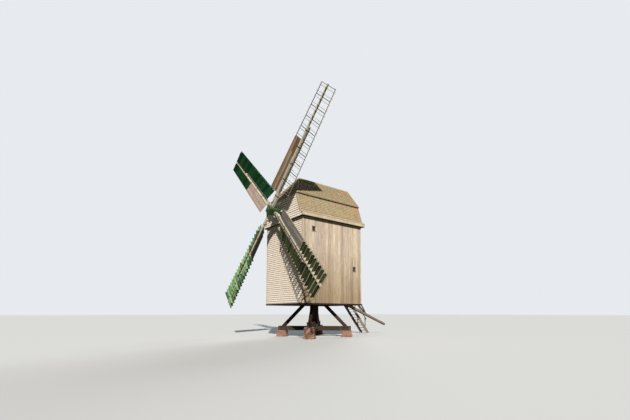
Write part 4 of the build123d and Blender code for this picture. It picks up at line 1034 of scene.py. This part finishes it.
trim = new_stack()
rng = Random(95)
for y, out in ((ROOF_FRONT, -1), (ROOF_BACK, 1)):
    for side in (1, -1):
        for (x1, z1), (x2, z2) in zip(ROOF_LINE[:-1], ROOF_LINE[1:-1]):
            inwards = away_from(x1, z1, x2, z2, side) * VERGE_IN
            face_y = y + out * HALF_THICK
            start, end = Vector((side * x1, face_y, z1)) - inwards, Vector((side * x2, face_y, z2)) - inwards
            stick(trim, start, end, VERGE_WIDE, VERGE_THICK, (0, out, 0), rng)
for side in (1, -1):
    foot = VERGE_FOOT + VERGE_OUT * HALF_THICK
    start, end = foot + Vector((side * 2.40, 0, -0.02)), foot + VERGE_UP + Vector((side * 0.05, 0, -0.07))
    stick(trim, start, end, VERGE_WIDE, VERGE_THICK, VERGE_OUT, rng)
    start, end = Vector((side * 2.44, -0.02, 0.01)), HIP_UP + Vector((side * 0.03, -0.02, 0.03))
    stick(trim, HIP_FOOT + start, HIP_FOOT + end, HIP_WIDE, HIP_THICK, HIP_OUT + slope_out[side], rng)
for side in (1, -1):
    for y, out in ((FRONT_Y, -1), (REAR_Y, 1)):
        for x, corner_y, face in (
            (side * (RIGHT_X + CORNER_PROUD), y - out * CORNER_IN, (side, 0, 0)),
            (side * (RIGHT_X - CORNER_IN), y + out * CORNER_PROUD, (0, out, 0)),
        ):
            low, high = (x, corner_y, BOTTOM_Z), (x, corner_y, EAVE_Z)
            stick(trim, low, high, CORNER_WIDE, CORNER_THICK, face, rng)
piece_from(trim, "trim_boards", TRIM_WOOD, "mill_body", "side_boards")

# %% [markdown]
# ## Casings, laps and sills
# A casing of four boards goes round every window and covers the cut ends of the
# wall boards. A lap board lies over each bend of the roof; the one at the flare is
# darker than the shingles and draws the kick's shadow line as painted shade. A
# near black sill runs round the foot of the body as painted shade of its underside.

# %% Casings, laps and sills
CASING_WIDE, CASING_OUT, CASING_SIDE = 0.05, 0.032, 0.022
SILL_UP, SILL_WIDE, SILL_OUT = 0.07, 0.12, 0.062
WINDOWS = [((side * RIGHT_X, y, z), (side, 0, 0)) for y, z in SIDE_WINDOWS for side in (1, -1)]
WINDOWS.append(((0, REAR_Y, REAR_WINDOW_Z), (0, 1, 0)))

frames, laps, sills = new_stack(), new_stack(), new_stack()


def casing(centre, out, wide, high, sill=True):
    """Boards round an opening, proud of the wall boards; a door has none below."""
    out = Vector(out)
    along, centre = UP.cross(out), Vector(centre) + out * CASING_OUT
    for side in (1, -1):
        spot, reach = centre + along * side * (wide / 2 + CASING_SIDE), UP * (high / 2 + 0.04)
        stick(frames, spot - reach, spot + reach, CASING_WIDE, 0.026, out, rng)
        if side > 0 or sill:
            spot, reach = centre + UP * side * (high / 2 + CASING_SIDE), along * (wide / 2 + 0.07)
            stick(frames, spot - reach, spot + reach, CASING_WIDE, 0.036, out, rng)


for centre, out in WINDOWS:
    casing(centre, out, WINDOW_WIDE, WINDOW_HIGH)
door_middle = ((DOOR_LEFT + DOOR_RIGHT) / 2, REAR_Y, (DOOR_LOW + DOOR_HIGH) / 2)
casing(door_middle, (0, 1, 0), DOOR_RIGHT - DOOR_LEFT, DOOR_HIGH - DOOR_LOW, False)
# The lap at the flare is darker wood than the shingles round it and draws the kick's shadow line as painted
# shade.
for side in (1, -1):
    for x, z, high in ((2.476, 12.098, 0.03), (2.858, 10.648, 0.035)):
        start, end = (side * x, ROOF_FRONT + 0.02, z), (side * x, ROOF_BACK - 0.02, z)
        stick(laps, start, end, high, 0.022, (side, 0, 0.3), rng)
# The sill's dark wood draws the shaded underside of the body as painted shade.
z = BOTTOM_Z + SILL_UP
for side in (1, -1):
    x = side * (RIGHT_X + SILL_OUT)
    stick(sills, (x, FRONT_Y - 0.06, z), (x, REAR_Y + 0.06, z), SILL_WIDE, 0.026, (side, 0, 0), rng)
for y, out in ((FRONT_Y - SILL_OUT, -1), (REAR_Y + SILL_OUT, 1)):
    stick(sills, (-RIGHT_X - 0.07, y, z), (RIGHT_X + 0.07, y, z), SILL_WIDE, 0.026, (0, out, 0), rng)
piece_from(frames, "opening_frames", STAIR_WOOD, "mill_body", "window_wood")
piece_from(laps, "roof_laps", STAIR_WOOD, "mill_body", "roof_shingles")
piece_from(sills, "sill_boards", SILL_PAINTED_SHADE_WOOD, "mill_body", "side_boards")

# %% [markdown]
# ## Windows
# The small casements keep their solid shape and get soft edges. The panes are
# right as they are, so they only get their glass. Two thin bars cross in front
# of each pane and make it four.

# %% Windows
BAR_IN, BAR_WIDE, PANE_TALL, PANE_WIDE = 0.075, 0.018, 0.156, 0.096

dressed("window_casements", FRAME_WOOD, "mill_body", "window_wood", 0.003, 96)
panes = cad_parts["window_panes"].data
panes.materials.clear()
panes.materials.append(OLD_GLASS)

bars = new_stack()
for centre, out in WINDOWS:
    spot = Vector(centre) - Vector(out) * BAR_IN
    across = Vector((abs(out[1]), abs(out[0]), 0))
    for reach, thick in ((UP * PANE_TALL, 0.02), (across * PANE_WIDE, 0.018)):
        stick(bars, spot - reach, spot + reach, BAR_WIDE, thick, out, rng, 0.002)
piece_from(bars, "window_bars", FRAME_WOOD, "mill_body", "window_wood")

# %% [markdown]
# ## Door
# A ledged door is the plainest there is: upright boards, two ledges across them
# and one slanting brace that keeps the leaf from sagging. We build it just so,
# with long iron hinges over the ledges and a handle.

# %% Door leaf
LEAF_BOARDS, LEAF_STEP, LEAF_BOARD, LEAF_EDGE = 6, 0.148, 0.144, 0.006
LEDGE_WIDE, LEDGE_THICK, HANDLE_LOW, HANDLE_HIGH = 0.12, 0.024, 5.40, 5.56

door, hinges = new_stack(), new_stack()
door_y, outside = REAR_Y - 0.06, (0, 1, 0)
ledge_y = door_y + 0.006
for number in range(LEAF_BOARDS):
    left = DOOR_LEFT + LEAF_EDGE + number * LEAF_STEP
    right, back_y, face_y = left + LEAF_BOARD, door_y - 0.05, door_y - 0.006
    corners = [(left, back_y), (right, back_y), (right, face_y), (left, face_y)]
    ends = [[Vector((x, y, z)) for x, y in corners] for z in (DOOR_LOW + LEAF_EDGE, DOOR_HIGH - LEAF_EDGE)]
    plank(door, *ends, outside, rng)
for z in (DOOR_LOW + 0.25, DOOR_HIGH - 0.28):
    start, end = (DOOR_LEFT + 0.03, ledge_y, z), (DOOR_RIGHT - 0.03, ledge_y, z)
    stick(door, start, end, LEDGE_WIDE, LEDGE_THICK, outside, rng)
    start, end = (DOOR_LEFT + 0.01, door_y + 0.022, z), (DOOR_LEFT + 0.62, door_y + 0.022, z)
    stick(hinges, start, end, 0.035, 0.008, outside, rng, 0.001, PLAIN)
start, end = (DOOR_LEFT + 0.08, ledge_y, DOOR_LOW + 0.34), (DOOR_RIGHT - 0.08, ledge_y, DOOR_HIGH - 0.37)
stick(door, start, end, 0.11, 0.022, outside, rng)
start, end = (DOOR_RIGHT - 0.09, ledge_y, HANDLE_LOW), (DOOR_RIGHT - 0.09, ledge_y, HANDLE_HIGH)
stick(hinges, start, end, 0.03, 0.06, outside, rng, 0.004, PLAIN)
piece_from(door, "door_boards", DOOR_WOOD, "mill_body", "door_boards", "rear_door")
piece_from(hinges, "door_hinges", DARK_IRON, "mill_body", "iron")

# %% [markdown]
# ## Stair, platform and tail pole
# The miller climbs a stair at the rear and pushes the whole mill round with the
# tail pole. These solids already have their shape, so they are dressed.

# %% Rear timbers
STAIR_NODES = ("rear_platform", "platform_brackets", "stair_strings", "stair_treads", "stair_handrails")

for number, node in enumerate(STAIR_NODES):
    dressed(node, STAIR_WOOD, "mill_body", "stair_timber", 0.006, 100 + number)
dressed("tail_pole", STAIR_WOOD, "mill_body", "oak_timber", 0.01, 110)
dressed("tail_pole_stays", STAIR_WOOD, "mill_body", "oak_timber", 0.008, 111)

# %% [markdown]
# ## Windshaft and poll end
# The windshaft's front end is an iron poll end with two square mortices. The
# stocks run right through it. Its paint is a strong green, darkened beyond the
# paint as painted shade of the hub.

# %% Shaft, poll end and bearings
dressed("windshaft", TARRED_OAK, "rotor", "oak_timber", 0.008, 120)
dressed("poll_end", SHADED_POLL_GREEN, "rotor", "green_iron", 0.012, 121, 32)
for node, body in (("neck_bearing", "mill_body"), ("tail_bearing", "mill_body"), ("post_pintle", "trestle")):
    dressed(node, DARK_IRON, body, "iron", 0.004, 122)

# %% [markdown]
# ## Sails
# Each sail hangs on a whip bolted to its stock, with bars through it like the
# rungs of a ladder. Shutters between the bars open and close like a blind. We
# work in each sail's own directions: r outwards, t towards its leading side and
# n forwards, and let the two rails twist as the real ones do. The rear stock's
# ends lean forwards a little, so that all four tips run in one plane.

# %% Sail directions
HUB, TILT = Vector((0, -4.55, 10.94)), radians(4.0)
FORWARD = Vector((0, -cos(TILT), sin(TILT)))
SHAFT_UP = Vector((0, sin(TILT), cos(TILT)))
FIRST_ANGLE, REAR_LEAN, LEAN_FROM, STOCK_FORWARD = 46.4, 2.9, 0.7, 0.19
TIP, ROOT, PITCH, STOCK_ROOT, STOCK_END = 10.45, 2.05, 0.42, 0.45, 7.4
WHIP_FACE, STOCK_HALF = 0.24, 0.11
LEADING_COUNT = [10, 11, 14, 10]


def sail_point(index, r, t, n):
    """A point of a sail, given outwards, towards the leading side and forwards."""
    angle = radians(FIRST_ANGLE + 90 * index)
    straight = Vector((cos(angle), 0, 0)) + SHAFT_UP * sin(angle)
    lead = FORWARD.cross(straight)
    lean = radians(REAR_LEAN) if index % 2 else 0.0
    out = straight * cos(lean) + FORWARD * sin(lean)
    along_shaft = -STOCK_FORWARD if index % 2 else STOCK_FORWARD
    centre = HUB + FORWARD * along_shaft + (straight - out) * LEAN_FROM
    return centre + out * r + lead * t + out.cross(lead) * n


def rail_at(side, r):
    """The rail's centre at a radius as (t, n)."""
    share = (TIP - r) / (TIP - ROOT)
    return (1.125, 0.03 + share * 0.20) if side > 0 else (-1.055, -0.02 - share * 0.33)


def bar_start(side, r):
    """Where a bar starts: on the whip, or on the stock beside it."""
    if side > 0:
        return WHIP_FACE
    return STOCK_HALF if r > STOCK_END else -STOCK_HALF


def bar_ends(index, side, r):
    """Where a bar or a shutter starts and where it meets the rail."""
    return sail_point(index, r, bar_start(side, r), 0), sail_point(index, r, *rail_at(side, r))


def section(index, r, t_low, t_high, n_low, n_high):
    """Four corners of a cut across a timber of a sail."""
    corners = ((t_low, n_low), (t_high, n_low), (t_high, n_high), (t_low, n_high))
    return [sail_point(index, r, t, n) for t, n in corners]


# %% [markdown]
# ### Stocks and whips
# A stock is one long beam that passes through the poll and carries two opposite
# sails. The whips are bolted to it and stand a little proud of it, so that they
# throw a thin shadow on it. Iron straps hold the two together, and wedges lock
# the stocks in the poll.

# %% Stocks, whips and straps
STRAP_RADII, STRAP_HALF, PLATE = (1.35, 2.9, 4.3, 5.7, 7.05), 0.035, 0.008
MIDDLE_FORWARD = 0.0126  # the middle of the leaning stock lies this much forward
STOCK_DEEP, CAP_ROOT, CAP_TIP, CAP_SIDES = 0.15, 0.83, 10.54, (0.114, 0.237)

stocks, caps, straps, wedges = new_stack(), new_stack(), new_stack(), new_stack()
rng = Random(130)


def sail_strap(index, r):
    """An iron band round a stock and its whip, with a bolt head on each."""
    drop = (r - STOCK_ROOT) / (STOCK_END - STOCK_ROOT)
    front, step, rear = 0.115 - drop * 0.02, 0.034 - drop * 0.035, -0.155 + drop * 0.065
    for plate in (
        (0.104, 0.246, front, front + PLATE), (-0.116, 0.110, step, step + PLATE),
        (0.102, 0.110, step, front), (-0.116, 0.246, rear - PLATE, rear),
        (-0.120, -0.112, rear, step), (0.242, 0.250, rear, front),
    ):
        ends = [section(index, r + reach, *plate) for reach in (-STRAP_HALF, STRAP_HALF)]
        plank(straps, *ends, FORWARD, rng, 0.002, PLAIN)
    for t, n in ((0.175, front), (-0.02, step)):
        bolt(straps, sail_point(index, r, t, n + PLATE), FORWARD, 0.016, rng)


for index in range(4):
    root = section(index, STOCK_ROOT, -STOCK_HALF, STOCK_HALF, -STOCK_DEEP, 0.03)
    tip = section(index, STOCK_END, -STOCK_HALF, STOCK_HALF, -0.085, -0.005)
    plank(stocks, root, tip, FORWARD, rng, 0.010)
    root = section(index, CAP_ROOT, *CAP_SIDES, 0.074, 0.112)
    tip = section(index, CAP_TIP, *CAP_SIDES, 0.047, 0.075)
    plank(caps, root, tip, FORWARD, rng, 0.006)
    for r in STRAP_RADII:
        sail_strap(index, r)
    for t in (-0.07, 0.07):
        low, high = sail_point(index, 0.33, t, 0.02), sail_point(index, 0.52, t, 0.02)
        stick(wedges, low + FORWARD * 0.145, high + FORWARD * 0.115, 0.07, 0.03, FORWARD, rng)
for index, shift in ((0, 0.0), (1, MIDDLE_FORWARD)):
    low, high = shift - STOCK_DEEP, shift + STOCK_DEEP
    near = section(index, STOCK_ROOT, -STOCK_HALF, STOCK_HALF, low, high)
    far = section(index + 2, STOCK_ROOT, STOCK_HALF, -STOCK_HALF, low, high)
    plank(stocks, near, far, FORWARD, rng, 0.006)
piece_from(stocks, "stock_timbers", STOCK_WOOD, "rotor", "stock_timber", "sail_stocks")
dressed("sail_whips", WHIP_WOOD, "rotor", "whip_timber", 0.008, 131)
piece_from(caps, "whip_caps", WHIP_WOOD, "rotor", "whip_timber")
piece_from(straps, "sail_straps", DARK_IRON, "rotor", "iron")
piece_from(wedges, "stock_wedges", STAIR_WOOD, "rotor", "stock_timber")

# %% [markdown]
# ### Leading boards
# Boards close the inner part of each leading side, where shutters would catch
# little wind. They follow the twist of the bars. Each sail was repaired at a
# different time, so each has its own wood; the third sail's boards are darkened
# to near black as painted shade.

# %% Leading boards
BOARDS_FROM, BOARDS_TO, BOARDS_ROOT, LEADING_BOARDS, LEADING_GAP = 0.2406, 1.15, 1.62, 5, 0.014
BARS_OVER, LEADING_THICK = 0.032, 0.024

for index, count in enumerate(LEADING_COUNT):
    closed = new_stack()
    rng = Random(150 + index)
    outer_r = TIP - count * PITCH - 0.0225
    wide = (BOARDS_TO - BOARDS_FROM + LEADING_GAP) / LEADING_BOARDS
    for board in range(LEADING_BOARDS):
        low_t = BOARDS_FROM + wide * board
        high_t = low_t + wide - LEADING_GAP
        joint = rng.uniform(BOARDS_ROOT + 1.0, outer_r - 1.0)
        for first_r, last_r in ((BOARDS_ROOT, joint - 0.002), (joint + 0.002, outer_r)):
            ends = []
            for r in (first_r, last_r):
                rail_t, rail_n = rail_at(1, r)
                slope = rail_n / (rail_t - WHIP_FACE)
                low_n, high_n = ((t - WHIP_FACE) * slope + BARS_OVER for t in (low_t, high_t))
                corners = (
                    (low_t, low_n), (high_t, high_n),
                    (high_t, high_n + LEADING_THICK), (low_t, low_n + LEADING_THICK),
                )
                ends.append([sail_point(index, r, t, n) for t, n in corners])
            tone = (board * 0.43 + rng.uniform(0, 0.2)) % 1
            plank(closed, *ends, FORWARD, rng, tone=tone)
    replaced = ("leading_boards",) if index == 0 else ()
    piece_from(closed, f"sail_{index + 1}_boards", SAIL_BOARDS[index], "rotor", "sail_boards", *replaced)

# %% [markdown]
# ### Shutters
# Every sail has its own spring, so the shutters of one sail may stand at another
# angle than those of the next, and a worn spring lets them differ from root to
# tip. A small iron lever at the inner end of each trailing shutter joins it to a
# rod along the stock.

# %% Rails, bars and shutters
OPENINGS = [(16, 2), (12, 12), (12, 12), (20, 12)]  # degrees at the root and at the tip
RAIL, BAR, SPINDLE, BLADE = (0.05, 0.046), (0.045, 0.06), (0.022, 0.022), (0.014, 0.38)
LEVER, ROD = (0.085, 0.022), (0.030, 0.030)
BAR_STEP, BAR_COUNT, TRAILING_COUNT = 0.84, 11, 20
BLADE_FROM, BLADE_SHORT, LEVER_BESIDE, LEVER_BACK, LEVER_AHEAD = 0.03, 0.047, 0.014, 0.035, 0.115

levers = new_stack()
for index, leading in enumerate(LEADING_COUNT):
    lattice, blades = new_stack(), new_stack()
    rng = Random(140 + index)
    middle = sail_point(index, 0, 0, 0)
    lead, ahead = sail_point(index, 0, 1, 0) - middle, sail_point(index, 0, 0, 1) - middle
    at_root, at_tip = OPENINGS[index]
    for side, count in ((-1, TRAILING_COUNT), (1, leading)):
        ends = [sail_point(index, r, *rail_at(side, r)) for r in (ROOT - 0.05, TIP + 0.05)]
        stick(lattice, *ends, *RAIL, FORWARD, rng)
        for i in range(BAR_COUNT):
            r = TIP - BAR_STEP * i
            stick(lattice, *bar_ends(index, side, r), *BAR, FORWARD, rng)
        for i in range(count):
            r = TIP - PITCH * (i + 0.5)
            opening = radians(at_tip + (at_root - at_tip) * (TIP - r) / (TIP - ROOT))
            face = Matrix.Rotation(opening, 3, lead) @ ahead
            start, end = bar_ends(index, side, r)
            along = (end - start).normalized()
            stick(blades, start, end, *SPINDLE, face, rng, 0.002)
            start, end = start + along * BLADE_FROM, end - along * BLADE_SHORT
            stick(blades, start, end, *BLADE, face, rng, 0.003)
            if side < 0:
                spot = start - along * LEVER_BESIDE
                low, high = spot - face * LEVER_BACK, spot + face * LEVER_AHEAD
                stick(levers, low, high, *LEVER, along, rng, 0.002, PLAIN)
    rod_ends = (ROOT - 0.3, STOCK_END - 0.1)
    rod = [sail_point(index, r, -0.135 if r < STOCK_END else 0.09, 0.085) for r in rod_ends]
    stick(levers, *rod, *ROD, FORWARD, rng, 0.003, PLAIN)
    name = f"sail_{index + 1}"
    piece_from(lattice, f"{name}_lattice", LATTICE_WOODS[index], "rotor", "whip_timber")
    piece_from(blades, f"{name}_blades", GREEN_PAINT[index], "rotor", "green_shutters", f"{name}_shutters")
piece_from(levers, "shutter_levers", DARK_IRON, "rotor", "iron")

# %% [markdown]
# ## What is left of the solids
# Behind the shingles and boards the walls and slopes of the solid model still
# show as thin lines in the joints. They keep their shape and get a darker wood.

# %% Backing
for name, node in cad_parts.items():
    if not node.hide_render and name != "window_panes":
        node.data.materials.clear()
        node.data.materials.append(BACKING)
        print(name, "is backing")

# %% [markdown]
# The dressed mill must not be larger than the solids, because other scenes plan
# with their box. The box of all that is shown is written down.

low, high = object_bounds()
print("dressed model from", tuple(low), "to", tuple(high))
